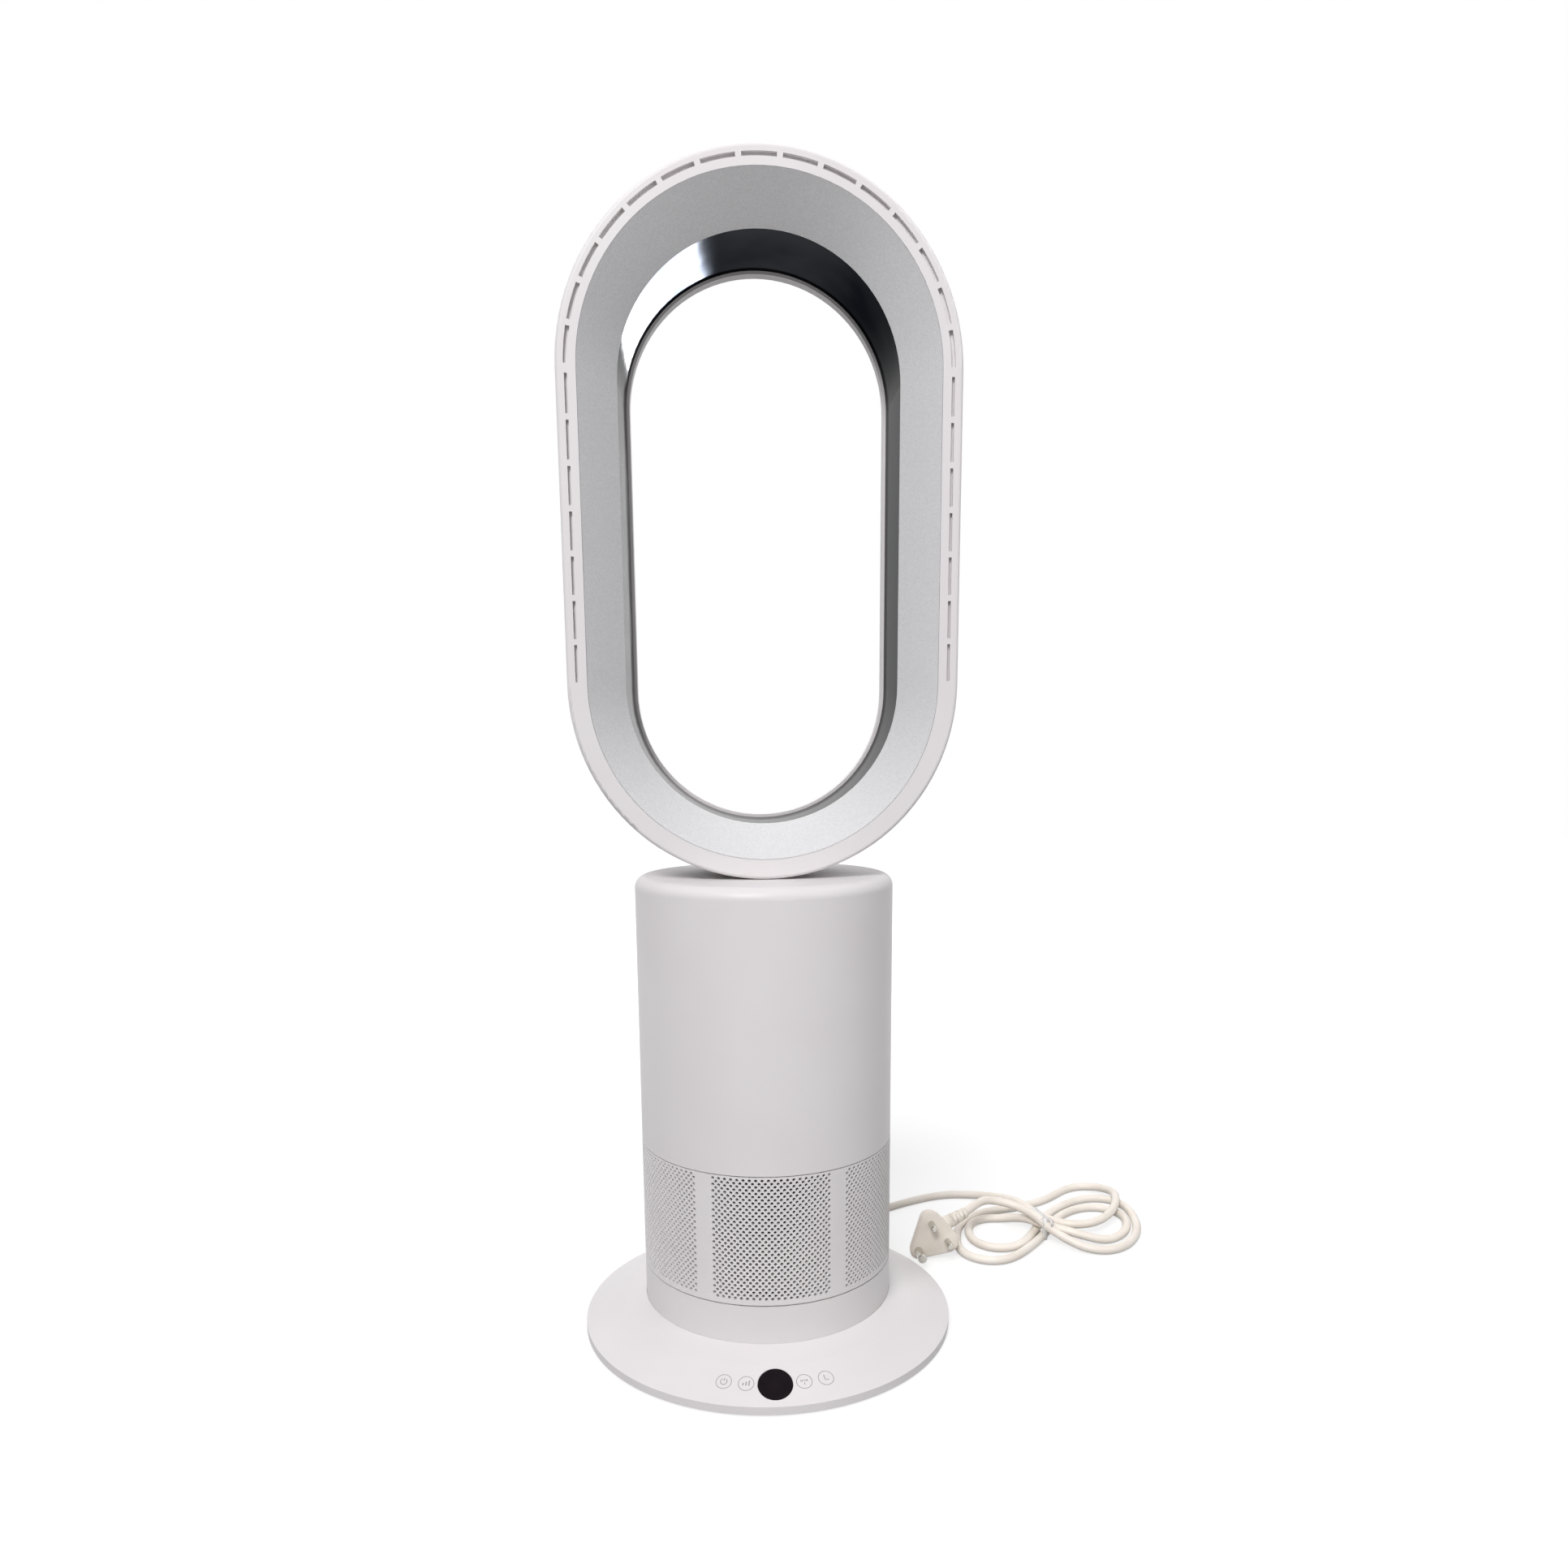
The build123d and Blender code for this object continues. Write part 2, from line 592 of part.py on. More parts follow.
def stepper_motor():
    x, y = stepper_spot()
    body = post(x, y, STEPPER_RADIUS, STEPPER_TOP - STEPPER_HEIGHT, STEPPER_TOP)
    bar = SlotOverall(STEPPER_EAR_SPACING + STEPPER_EAR_WIDTH, STEPPER_EAR_WIDTH)
    ears = extrude(Pos(x, y, STEPPER_TOP - 1) * Rot(0, 0, PINION_ANGLE + 90) * bar, 1)
    motor = body + ears
    for ear_x, ear_y in stepper_ear_spots():
        motor -= screw_hole(ear_x, ear_y, 0, STEPPER_TOP + 1)
    bore = STEPPER_SHAFT_RADIUS + SHAFT_GAP
    return motor - post(PINION_X, PINION_Y, bore, STEPPER_TOP - STEPPER_SHAFT_DEPTH, STEPPER_TOP + 1)


def stepper_screws():
    return [screw(x, y, STEPPER_TOP, SCREW_LENGTH_BASE) for x, y in stepper_ear_spots()]


def thrust_washer():
    return ring(POST_SHOULDER_RADIUS - 1, POST_RADIUS + FIT, SHOULDER_TOP, SHOULDER_TOP + THRUST_WASHER)


def retainer_spots():
    circle = (POST_BORE + POST_RADIUS) / 2
    return [polar(circle, 120 * i) for i in range(3)]


def retaining_ring():
    cap = ring(RETAINER_RADIUS, POST_BORE, POST_TOP, POST_TOP + RETAINER_THICKNESS)
    for x, y in retainer_spots():
        cap -= screw_hole(x, y, POST_TOP - 1, TOWER_TOP)
    return cap


def retaining_screws():
    top = POST_TOP + RETAINER_THICKNESS
    return [screw(x, y, top, SCREW_LENGTH_RETAINER) for x, y in retainer_spots()]


# ---- Turning lower tower --------------------------------------------------
def turntable():
    plate = ring(COLLAR_INNER - FIT, POST_RADIUS + SHAFT_GAP, TURNTABLE_BOTTOM, TURNTABLE_TOP)
    half_x, half_y = MOTOR_BOARD[0] / 2 - 4, MOTOR_BOARD[1] / 2 - 4
    for x in (-half_x, half_x):
        for y in (MOTOR_BOARD_Y - half_y, MOTOR_BOARD_Y + half_y):
            plate += post(x, y, STANDOFF_RADIUS, TURNTABLE_TOP, TURNTABLE_TOP + STANDOFF_HEIGHT)
    for x, y in gear_screw_spots():
        plate -= screw_hole(x, y, 0, TURNTABLE_TOP + 1)
    return plate


def intake_frame():
    outer = COLLAR_INNER - FIT
    inner = outer - COLUMN_DEPTH
    frame = ring(outer, inner, TURNTABLE_TOP, TURNTABLE_TOP + FRAME_RING)
    frame += ring(outer, inner, FRAME_TOP - FRAME_RING, FRAME_TOP)
    reach = block(outer - COLUMN_DEPTH / 2, 0, (2 * COLUMN_DEPTH, COLUMN_WIDTH), TURNTABLE_TOP, FRAME_TOP)
    column = reach & ring(outer, inner, TURNTABLE_TOP, FRAME_TOP)
    frame = frame + on_circle(column, COLUMN_ANGLES)
    for x, y in frame_screw_spots():
        frame -= screw_hole(x, y, FRAME_TOP - SCREW_LENGTH_FRAME, FRAME_TOP + 1)
    return frame


def frame_screw_spots():
    circle = COLLAR_INNER - FIT - COLUMN_DEPTH / 2
    return [polar(circle, angle) for angle in COLUMN_ANGLES]


def frame_screws():
    length = SUPPORT_THICKNESS + SCREW_LENGTH_FRAME - 1
    return [screw(x, y, SUPPORT_TOP, length) for x, y in frame_screw_spots()]


def intake_grille():
    """Six panels with staggered columns of upright holes, and a plain band between two panels."""
    width, height = GRILLE_HOLE
    low, high = TURNTABLE_BOTTOM + GRILLE_MARGIN, GRILLE_TOP - GRILLE_MARGIN
    wall = ring(TOWER_RADIUS, COLLAR_INNER, TURNTABLE_BOTTOM, GRILLE_TOP)
    rows = int((high - low + GRILLE_BAR) / (height + GRILLE_BAR))
    column_step = (PANEL_ANGLE - math.degrees(width / TOWER_RADIUS)) / (GRILLE_COLUMNS - 1)
    holes = []
    for column in range(GRILLE_COLUMNS):
        angle = (column - (GRILLE_COLUMNS - 1) / 2) * column_step
        count = rows - column % 2
        for row in range(count):
            middle = (low + high) / 2 + (row - (count - 1) / 2) * (height + GRILLE_BAR)
            holes.append(Rot(0, 0, angle) * Pos(TOWER_RADIUS, 0, middle) * Box(4 * TOWER_WALL, width, height))
    for panel in range(PANEL_COUNT):
        wall -= [Rot(0, 0, -90 + 360 / PANEL_COUNT * panel) * hole for hole in holes]
    return wall


# ---- Air mover ------------------------------------------------------------
def bucket_line(offset):
    """The inside of the bucket's bell and throat, moved outwards by offset."""
    return [
        (BELL_LIP + offset, BELL_BOTTOM),
        (THROAT_RADIUS + offset, THROAT_Z),
        (BUCKET_RADIUS + offset, IMPELLER_TOP),
        (BUCKET_RADIUS + offset, BUCKET_TOP),
    ]


def fan_bucket():
    bucket = turned(bucket_line(0) + bucket_line(BUCKET_WALL)[::-1])
    low = SUPPORT_TOP + SEAL_LIP
    return bucket + ring(FLANGE_RADIUS, BUCKET_RADIUS + BUCKET_WALL / 2, low, low + SEAL_LIP)


def bucket_seal():
    sleeve = ring(SUPPORT_BORE - FIT, BUCKET_OUTER + FIT, FRAME_TOP, SUPPORT_TOP)
    return sleeve + ring(FLANGE_RADIUS, BUCKET_OUTER + FIT, SUPPORT_TOP, SUPPORT_TOP + SEAL_LIP)


def support_plate():
    plate = ring(COLLAR_INNER - FIT, SUPPORT_BORE, FRAME_TOP, SUPPORT_TOP)
    for x, y in frame_screw_spots():
        plate -= screw_hole(x, y, 0, SUPPORT_TOP + 1)
    return plate


def blade_section(inner, outer, thickness, bend):
    """A curved strip seen from above, from an inner to an outer radius, leaning back."""
    start, end = (inner, 0), polar(outer, -math.degrees((outer - inner) / bend) / 2)
    chord = math.dist(start, end)
    bulge = math.copysign(abs(bend) - math.sqrt(bend**2 - (chord / 2) ** 2), bend)
    along = ((end[0] - start[0]) / chord, (end[1] - start[1]) / chord)
    middle = (
        (start[0] + end[0]) / 2 - along[1] * bulge,
        (start[1] + end[1]) / 2 + along[0] * bulge,
    )
    return trace(ThreePointArc(start, middle, end), thickness)


def impeller():
    hub_line = [
        (SHAFT_RADIUS, THROAT_Z - 6),
        (HUB_NOSE_RADIUS, THROAT_Z + 2),
        (HUB_RADIUS, IMPELLER_TOP - 4),
        (HUB_RADIUS, IMPELLER_TOP),
        (SHAFT_RADIUS, IMPELLER_TOP),
    ]
    swept = turned([
        (HUB_NOSE_RADIUS - 3, THROAT_Z + 1),
        (THROAT_RADIUS - TIP_GAP, THROAT_Z + 1),
        (BUCKET_RADIUS - TIP_GAP, IMPELLER_TOP),
        (HUB_RADIUS - 3, IMPELLER_TOP),
    ])
    strip = blade_section(HUB_NOSE_RADIUS - 2, BUCKET_RADIUS + 4, BLADE_THICKNESS, BLADE_BEND)
    blade = extrude(Plane.XY.offset(THROAT_Z) * strip, IMPELLER_TOP - THROAT_Z) & swept
    step = 360 / BLADE_COUNT
    wheel = turned(hub_line) + on_circle(blade, [step * i for i in range(BLADE_COUNT)])
    return wheel - disc(SHAFT_RADIUS, 0, TOWER_TOP)


def motor_shaft():
    return disc(SHAFT_RADIUS, THROAT_Z - SHAFT_DROP, MOTOR_TOP - BEARING_WIDTH)


def impeller_nut():
    low = THROAT_Z - NUT_DROP
    nut = prism(0, 0, SHAFT_RADIUS + NUT_EDGE, 6, low, low + NUT_HEIGHT)
    return nut - disc(SHAFT_RADIUS, 0, TOWER_TOP)


def motor_housing():
    """The motor's can, open in the middle for its shaft and stepped at both ends for its bearings."""
    bore, ledge = SHAFT_RADIUS + SHAFT_GAP + 1, MOTOR_TOP - 2 * BEARING_WIDTH
    return turned(
        [
            (BEARING_RADIUS, MOTOR_BOTTOM),
            (MOTOR_RADIUS - MOTOR_CHAMFER, MOTOR_BOTTOM),
            (MOTOR_RADIUS, MOTOR_BOTTOM + MOTOR_CHAMFER),
            (MOTOR_RADIUS, MOTOR_TOP - MOTOR_CHAMFER),
            (MOTOR_RADIUS - MOTOR_CHAMFER, MOTOR_TOP),
            (0, MOTOR_TOP),
            (0, ledge + BEARING_WIDTH + 1),
            (bore, ledge + BEARING_WIDTH + 1),
            (bore, ledge + BEARING_WIDTH),
            (BEARING_RADIUS, ledge + BEARING_WIDTH),
            (BEARING_RADIUS, ledge),
            (bore, ledge),
            (bore, MOTOR_BOTTOM + BEARING_WIDTH),
            (BEARING_RADIUS, MOTOR_BOTTOM + BEARING_WIDTH),
        ]
    )


def motor_bearings():
    lows = (MOTOR_BOTTOM, MOTOR_TOP - 2 * BEARING_WIDTH)
    bore = SHAFT_RADIUS + SHAFT_GAP
    return [ring(BEARING_RADIUS, bore, low, low + BEARING_WIDTH) for low in lows]


def motor_damper():
    return ring(CUP_RADIUS - CUP_WALL - FIT, MOTOR_RADIUS, MOTOR_BOTTOM + 5, MOTOR_TOP - 5)


def diffuser():
    cup = ring(CUP_RADIUS, CUP_RADIUS - CUP_WALL, CUP_BOTTOM, CUP_TOP)
    cup += ring(CUP_RADIUS - CUP_WALL / 2, MOTOR_RADIUS - 6, CUP_BOTTOM, CUP_BOTTOM + CUP_WALL)
    strip = blade_section(CUP_RADIUS - CUP_WALL / 2, BUCKET_RADIUS - FIT, VANE_THICKNESS, -BLADE_BEND)
    low = MOTOR_BOTTOM + 4
    vane = extrude(Plane.XY.offset(low) * strip, VANE_HEIGHT)
    vane &= ring(BUCKET_RADIUS - FIT, CUP_RADIUS - CUP_WALL / 2, low, low + VANE_HEIGHT)
    return cup + on_circle(vane, [360 / VANE_COUNT * i for i in range(VANE_COUNT)])


def tail_cone():
    top = CUP_TOP + TAIL_LENGTH
    return turned([
        (0, CUP_TOP),
        (CUP_RADIUS, CUP_TOP),
        (CUP_RADIUS - 4, CUP_TOP + TAIL_LENGTH / 3),
        (CUP_RADIUS / 2, top - 4),
        (CUP_RADIUS / 4, top),
        (0, top),
    ])


# ---- Upper tower and neck -------------------------------------------------
def tower_shell():
    shell = disc(TOWER_RADIUS, FRAME_TOP, TOWER_TOP)
    shell = fillet(shell.edges().group_by(Axis.Z)[-1], TOWER_FILLET)
    hollow = disc(COLLAR_INNER, FRAME_TOP - 1, TOWER_TOP - TOWER_WALL)
    shell -= chamfer(hollow.edges().group_by(Axis.Z)[-1], TOWER_FILLET / 2)
    length, width = NECK_LENGTH + 2 * FIT, NECK_WIDTH + 2 * FIT
    shell -= obround(length, width, TOWER_TOP - 2 * TOWER_WALL, TOWER_TOP + 1, NECK_Y)
    for x, y in neck_screw_spots():
        shell -= screw_hole(x, y, TOWER_TOP - TOWER_WALL - 1, TOWER_TOP - TOWER_WALL / 3)
    return shell


def outlet_duct():
    """A cone over the bucket's mouth, closed by a plate with the neck's opening in it."""
    outer, low = BUCKET_OUTER + FIT + BUCKET_WALL, BUCKET_TOP + 2
    skirt = ring(outer, BUCKET_OUTER + FIT, BUCKET_TOP - DUCT_OVERLAP, BUCKET_TOP)
    cone = [(outer, low), (DUCT_TOP_RADIUS, NECK_BOTTOM)]
    wall = [(BUCKET_RADIUS, BUCKET_TOP), (outer, BUCKET_TOP)] + cone + [(0, NECK_BOTTOM)]
    wall += [(0, NECK_BOTTOM - NECK_WALL), (DUCT_TOP_RADIUS - NECK_WALL, NECK_BOTTOM - NECK_WALL)]
    duct = skirt + turned(wall + [(BUCKET_RADIUS, low)])
    length, width = NECK_LENGTH - 2 * NECK_WALL, NECK_WIDTH - 2 * NECK_WALL
    return duct - obround(length, width, NECK_BOTTOM - 2 * NECK_WALL, NECK_BOTTOM + 1, NECK_Y)


def outlet_neck():
    flange_top = TOWER_TOP - TOWER_WALL - GASKET_THICKNESS
    length, width = NECK_LENGTH + 2 * NECK_FLANGE, NECK_WIDTH + 2 * NECK_FLANGE
    neck = obround(NECK_LENGTH, NECK_WIDTH, NECK_BOTTOM, NECK_TOP, NECK_Y)
    neck += obround(length, width, flange_top - NECK_FLANGE_THICKNESS, flange_top, NECK_Y)
    length, width = NECK_LENGTH - 2 * NECK_WALL, NECK_WIDTH - 2 * NECK_WALL
    neck -= obround(length, width, NECK_BOTTOM - 1, NECK_TOP + 1, NECK_Y)
    for x, y in neck_screw_spots():
        neck -= screw_hole(x, y, NECK_BOTTOM, TOWER_TOP)
    return neck


def neck_gasket():
    high = TOWER_TOP - TOWER_WALL
    length, width = NECK_LENGTH + 2 * NECK_FLANGE, NECK_WIDTH + 2 * NECK_FLANGE
    gasket = obround(length, width, high - GASKET_THICKNESS, high, NECK_Y)
    gasket -= obround(NECK_LENGTH + FIT, NECK_WIDTH + FIT, high - 4, high + 1, NECK_Y)
    for x, y in neck_screw_spots():
        gasket -= screw_hole(x, y, NECK_BOTTOM, TOWER_TOP)
    return gasket


def neck_screw_spots():
    out = (NECK_FLANGE - SCREW_RADIUS) / 2 + SCREW_RADIUS / 2
    side = NECK_WIDTH / 2 + out
    ends = [(x * (NECK_LENGTH / 2 + out), NECK_Y) for x in (-1, 1)]
    along = (NECK_LENGTH - NECK_WIDTH) / 2
    return ends + [(x * along, NECK_Y + y * side) for x in (-1, 1) for y in (-1, 1)]


def neck_screws():
    low = TOWER_TOP - TOWER_WALL - GASKET_THICKNESS - NECK_FLANGE_THICKNESS
    length = NECK_FLANGE_THICKNESS + GASKET_THICKNESS + TOWER_WALL / 3
    return [screw(x, y, low, length, up=-1) for x, y in neck_screw_spots()]


# ---- Air loop -------------------------------------------------------------
def around_loop(section):
    """Takes a section, drawn as (distance from the middle, depth), round the loop."""
    top = Pos(0, 0, LOOP_TOP_ARC) * section
    low = Pos(0, 0, LOOP_BOTTOM_ARC) * section
    right = extrude(low, LOOP_STRAIGHT, dir=(0, 0, 1))
    over = revolve(top, Axis((0, 0, LOOP_TOP_ARC), (0, -1, 0)), 180)
    under = revolve(low, Axis((0, 0, LOOP_BOTTOM_ARC), (0, 1, 0)), 180)
    return over + right + under + mirror(right, Plane.YZ)


def loop_front_ring():
    edge_in, edge_out = FUNNEL_OUTER + FIT, LOOP_HALF_WIDTH
    back = LOOP_FRONT + FRONT_SKIRT
    face = make_face(Polyline(
        (edge_in, LOOP_FRONT),
        (edge_out, LOOP_FRONT),
        (edge_out, back),
        (edge_out - LOOP_WALL, back),
        (edge_out - LOOP_WALL, LOOP_FRONT + LOOP_WALL),
        (edge_in, LOOP_FRONT + LOOP_WALL),
        close=True,
    ))
    corner = face.vertices().sort_by_distance((edge_out, LOOP_FRONT))[0]
    return around_loop(fillet(corner, FRONT_FILLET)) - rim_slots()


def rim_slots():
    """Air slots in the flat front rim: round the top arc and down both straights."""
    depth = LOOP_WALL + 2
    arc = SLOT_STEP_ANGLE - math.degrees(SLOT_BRIDGE / SLOT_CIRCLE)
    round_slot = ring(SLOT_CIRCLE + SLOT_WIDTH / 2, SLOT_CIRCLE - SLOT_WIDTH / 2, 0, depth)
    corners = [polar(2 * SLOT_CIRCLE, arc / 2), polar(2 * SLOT_CIRCLE, -arc / 2)]
    round_slot &= extrude(make_face(Polyline((0, 0), *corners, close=True)), depth)
    facing = Plane(origin=(0, LOOP_FRONT - 1, LOOP_TOP_ARC), x_dir=(1, 0, 0), z_dir=(0, 1, 0))
    sides = range(-SLOTS_EACH_SIDE_ON_ARC, SLOTS_EACH_SIDE_ON_ARC + 1)
    slots = [facing * Rot(0, 0, -90 + SLOT_STEP_ANGLE * i) * round_slot for i in sides]
    arc_left = math.radians(90 - SLOT_STEP_ANGLE * (SLOTS_EACH_SIDE_ON_ARC + 0.5)) * SLOT_CIRCLE
    gap_below = SLOT_BRIDGE / 2 - arc_left
    pitch = (LOOP_STRAIGHT - gap_below) / SLOTS_ON_STRAIGHT
    bar = Box(SIDE_SLOT_WIDTH, depth, pitch - SLOT_BRIDGE)
    for i in range(SLOTS_ON_STRAIGHT):
        height = LOOP_TOP_ARC - gap_below - (i + 0.5) * pitch
        slots += [Pos(x * SLOT_CIRCLE, LOOP_FRONT + depth / 2 - 1, height) * bar for x in (-1, 1)]
    return slots


def loop_shell():
    out, front, wall = LOOP_HALF_WIDTH, LOOP_FRONT + FRONT_SKIRT + FIT, LOOP_WALL
    inner_cut = REAR_FILLET / 2
    face = make_face(Polyline(
        (out, front),
        (out, LOOP_REAR),
        (LIP_INNER, LOOP_REAR),
        (LIP_INNER, BAND_BACK + FIT),
        (LIP_INNER + wall, BAND_BACK + FIT),
        (LIP_INNER + wall, LOOP_REAR - wall),
        (out - wall - inner_cut, LOOP_REAR - wall),
        (out - wall, LOOP_REAR - wall - inner_cut),
        (out - wall, front),
        close=True,
    ))
    corner = face.vertices().sort_by_distance((out, LOOP_REAR))[0]
    shell = around_loop(fillet(corner, REAR_FILLET))
    socket_in = (NECK_LENGTH + 2 * FIT, NECK_WIDTH + 2 * FIT)
    socket = obround(socket_in[0] + 2 * wall, socket_in[1] + 2 * wall, TOWER_TOP - 5, NECK_TOP + wall, NECK_Y)
    inside = Pos(0, NECK_Y, LOOP_BOTTOM_ARC) * Rot(90, 0, 0) * Cylinder(out - wall / 2, 2 * NECK_WIDTH)
    shell += socket & inside
    shell -= obround(*socket_in, TOWER_TOP - 5, NECK_TOP + 2 * wall, NECK_Y)
    return shell


def loop_funnel():
    slope = math.atan2(FUNNEL_STEP, FUNNEL_DEPTH)
    return around_loop(make_face(Polyline(
        (FUNNEL_OUTER, LOOP_FRONT),
        (BAND_FRONT, FUNNEL_BACK),
        (BAND_FRONT + FUNNEL_WALL / math.cos(slope), FUNNEL_BACK),
        (FUNNEL_OUTER, LOOP_FRONT + FUNNEL_WALL / math.sin(slope)),
        close=True,
    )))


def throat_band():
    return around_loop(make_face(Polyline(
        (BAND_FRONT, FUNNEL_BACK + FIT),
        (BAND_REAR, BAND_BACK),
        (BAND_REAR + BAND_WALL, BAND_BACK),
        (BAND_FRONT + BAND_WALL, FUNNEL_BACK + FIT),
        close=True,
    )))


# ---- Mains lead -----------------------------------------------------------
def gland_plane():
    """At the rim where the lead comes out, with +Z pointing outwards."""
    spot = (*polar(BASE_RADIUS, GLAND_ANGLE), GLAND_Z)
    return Plane(origin=spot, x_dir=(0, 0, 1), z_dir=(*polar(1, GLAND_ANGLE), 0))


def gland_notch():
    """The round opening for the gland in the base's edge, open downwards."""
    radius = GLAND_RADIUS + FIT
    length = 2 * (GLAND_TUCK + FIT)
    opening = Cylinder(radius, length)
    return gland_plane() * (opening + Pos(-radius, 0, 0) * Box(2 * radius, 2 * radius, length))


def cable_gland():
    barrel = Cylinder(GLAND_RADIUS, GLAND_TUCK, align=(Align.CENTER, Align.CENTER, Align.MAX))
    boot = Cone(GLAND_RADIUS, GLAND_TIP_RADIUS, GLAND_REACH, align=BOTTOM)
    return gland_plane() * (barrel + boot)


def cord_path(points, name):
    """Straight runs joined by the largest tangent arcs that their lengths allow."""
    spots = [Vector(*p) for p in points]
    radii = []
    for before, here, after in zip(spots, spots[1:], spots[2:]):
        turn = (here - before).get_angle(after - here)
        shorter = min((here - before).length, (after - here).length)
        radii.append(0.45 * shorter / math.tan(math.radians(turn) / 2))
    path = FilletPolyline(*spots, radius=radii)
    print(name, "length", round(path.length, 1), "radii", [round(r, 1) for r in radii])
    return path


def cord_tube(points, name):
    path = cord_path(points, name)
    start = Plane(origin=path @ 0, z_dir=path % 0)
    tube = sweep(start * Circle(CORD_RADIUS), path)
    print(name, "volume ratio", round(tube.volume / (math.pi * CORD_RADIUS**2 * path.length), 4))
    return tube


def power_cord():
    start = (*polar(GLAND_OUTER, GLAND_ANGLE), GLAND_Z)
    return cord_tube([start] + LEAD_POINTS, "power_cord")


def cord_hank():
    outline = make_face(FilletPolyline(*HANK_OUTLINE, radius=HANK_ROUND, close=True))
    return extrude(Plane.XY.offset(HANK_LIFT) * outline, HANK_HEIGHT)


def cord_tie():
    low = HANK_LIFT + HANK_HEIGHT
    band = Box(TIE_SIZE[0], TIE_SIZE[1], TIE_SIZE[2], align=BOTTOM)
    return Pos(*TIE_CENTRE, low) * Rot(0, 0, TIE_ANGLE) * band


def plug_plane():
    return Plane(origin=PLUG_MIDDLE, x_dir=PLUG_ACROSS, z_dir=PLUG_OUT)


def plug_outline(inset):
    half = PIN_SPACING / 2
    circles = Pos(-half, 0) * Circle(PLUG_SHOULDER - inset)
    circles += Pos(half, 0) * Circle(PLUG_SHOULDER - inset)
    circles += Pos(0, -EARTH_DROP) * Circle(PLUG_APEX - inset)
    return make_hull(circles.edges())


def relief_plane():
    origin = plug_plane().from_local_coords(Vector(*RELIEF_START))
    return Plane(origin=origin, z_dir=RELIEF_DIRECTION)


def plug_body():
    half = -PLUG_DEPTH / 2
    back = Plane.XY.offset(-PLUG_DEPTH) * plug_outline(PLUG_BACK_INSET)
    body = extrude(plug_outline(0), half) + loft([Plane.XY.offset(half) * plug_outline(0), back], ruled=True)
    body = plug_plane() * body
    relief = Cone(RELIEF_RADIUS, RELIEF_TIP_RADIUS, RELIEF_LENGTH, align=BOTTOM)
    for i in range(RELIEF_GROOVES):
        z = RELIEF_LENGTH - (i + 1) * 3 * RELIEF_GROOVE_WIDTH
        groove = ring(RELIEF_RADIUS + 1, RELIEF_TIP_RADIUS - RELIEF_GROOVE_DEPTH, z, z + RELIEF_GROOVE_WIDTH)
        relief -= groove
    return body + relief_plane() * relief - plug_pins()


def pin(x, y, radius, length):
    straight = Cylinder(radius, length, align=BOTTOM)
    straight = chamfer(straight.edges().group_by(Axis.Z)[-1], PIN_ROUND)
    root = Cylinder(radius - PIN_STEP, PIN_ROOT, align=(Align.CENTER, Align.CENTER, Align.MAX))
    return plug_plane() * Pos(x, y) * (straight + root)


def plug_pins():
    half = PIN_SPACING / 2
    pair = [pin(x, 0, PIN_RADIUS, PIN_LENGTH) for x in (-half, half)]
    return pair + [pin(0, -EARTH_DROP, EARTH_RADIUS, EARTH_LENGTH)]


def cord_tail():
    tip = relief_plane().from_local_coords(Vector(0, 0, RELIEF_LENGTH))
    return cord_tube([tuple(tip)] + TAIL_POINTS, "cord_tail")


PIECES = [
    base_plate, base_cover, foot_collar, glide_pads, ballast_ring, rubber_feet, base_screws,
    display_lens, display_module, touch_board, power_board, stepper_motor, stepper_screws,
    thrust_washer, retaining_ring, retaining_screws, drive_pinion, pinion_shaft, sector_gear,
    gear_screws, turntable, motor_board, intake_frame, intake_grille, frame_screws,
    support_plate, bucket_seal, fan_bucket, impeller, impeller_nut, motor_shaft, motor_housing,
    motor_bearings, motor_damper, diffuser, tail_cone, tower_shell, outlet_duct, outlet_neck,
    neck_gasket, neck_screws, loop_front_ring, loop_shell, loop_funnel, throat_band,
    cable_gland, power_cord, cord_hank, cord_tie, cord_tail, plug_body, plug_pins,
]


def main():
    os.makedirs("parts", exist_ok=True)
    for piece in PIECES:
        solid = piece()
        solids = solid if isinstance(solid, list) else [solid]
        shape = Compound(children=[s for part in solids for s in part.solids()])
        export_step(shape, f"parts/{piece.__name__}.step")


main()
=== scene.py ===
import math

import bmesh
import bpy
from mathutils import Matrix, Vector


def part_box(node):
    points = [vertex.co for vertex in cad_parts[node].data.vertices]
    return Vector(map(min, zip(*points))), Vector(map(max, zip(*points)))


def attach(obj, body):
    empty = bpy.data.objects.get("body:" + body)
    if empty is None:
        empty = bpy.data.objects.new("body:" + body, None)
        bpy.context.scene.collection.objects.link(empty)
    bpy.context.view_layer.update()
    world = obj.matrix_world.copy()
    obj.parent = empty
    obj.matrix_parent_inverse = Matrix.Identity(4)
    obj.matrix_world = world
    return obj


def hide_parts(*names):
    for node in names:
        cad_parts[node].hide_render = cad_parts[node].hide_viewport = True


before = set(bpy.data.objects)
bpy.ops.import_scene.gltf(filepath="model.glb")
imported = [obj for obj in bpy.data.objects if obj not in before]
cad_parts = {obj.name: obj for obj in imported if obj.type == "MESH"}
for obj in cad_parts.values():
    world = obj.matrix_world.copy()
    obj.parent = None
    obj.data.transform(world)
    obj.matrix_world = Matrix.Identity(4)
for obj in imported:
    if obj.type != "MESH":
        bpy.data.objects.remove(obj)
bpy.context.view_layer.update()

bl_info = {
    "name": "Bladeless tower fan",
    "version": (1, 0, 0),
    "blender": (4, 5, 0),
    "location": "3D View > Sidebar > Tower fan",
    "description": "Dresses a tower fan: finishes, pierced grille, symbols, lead and plug",
    "category": "Object",
}

MM = 0.001

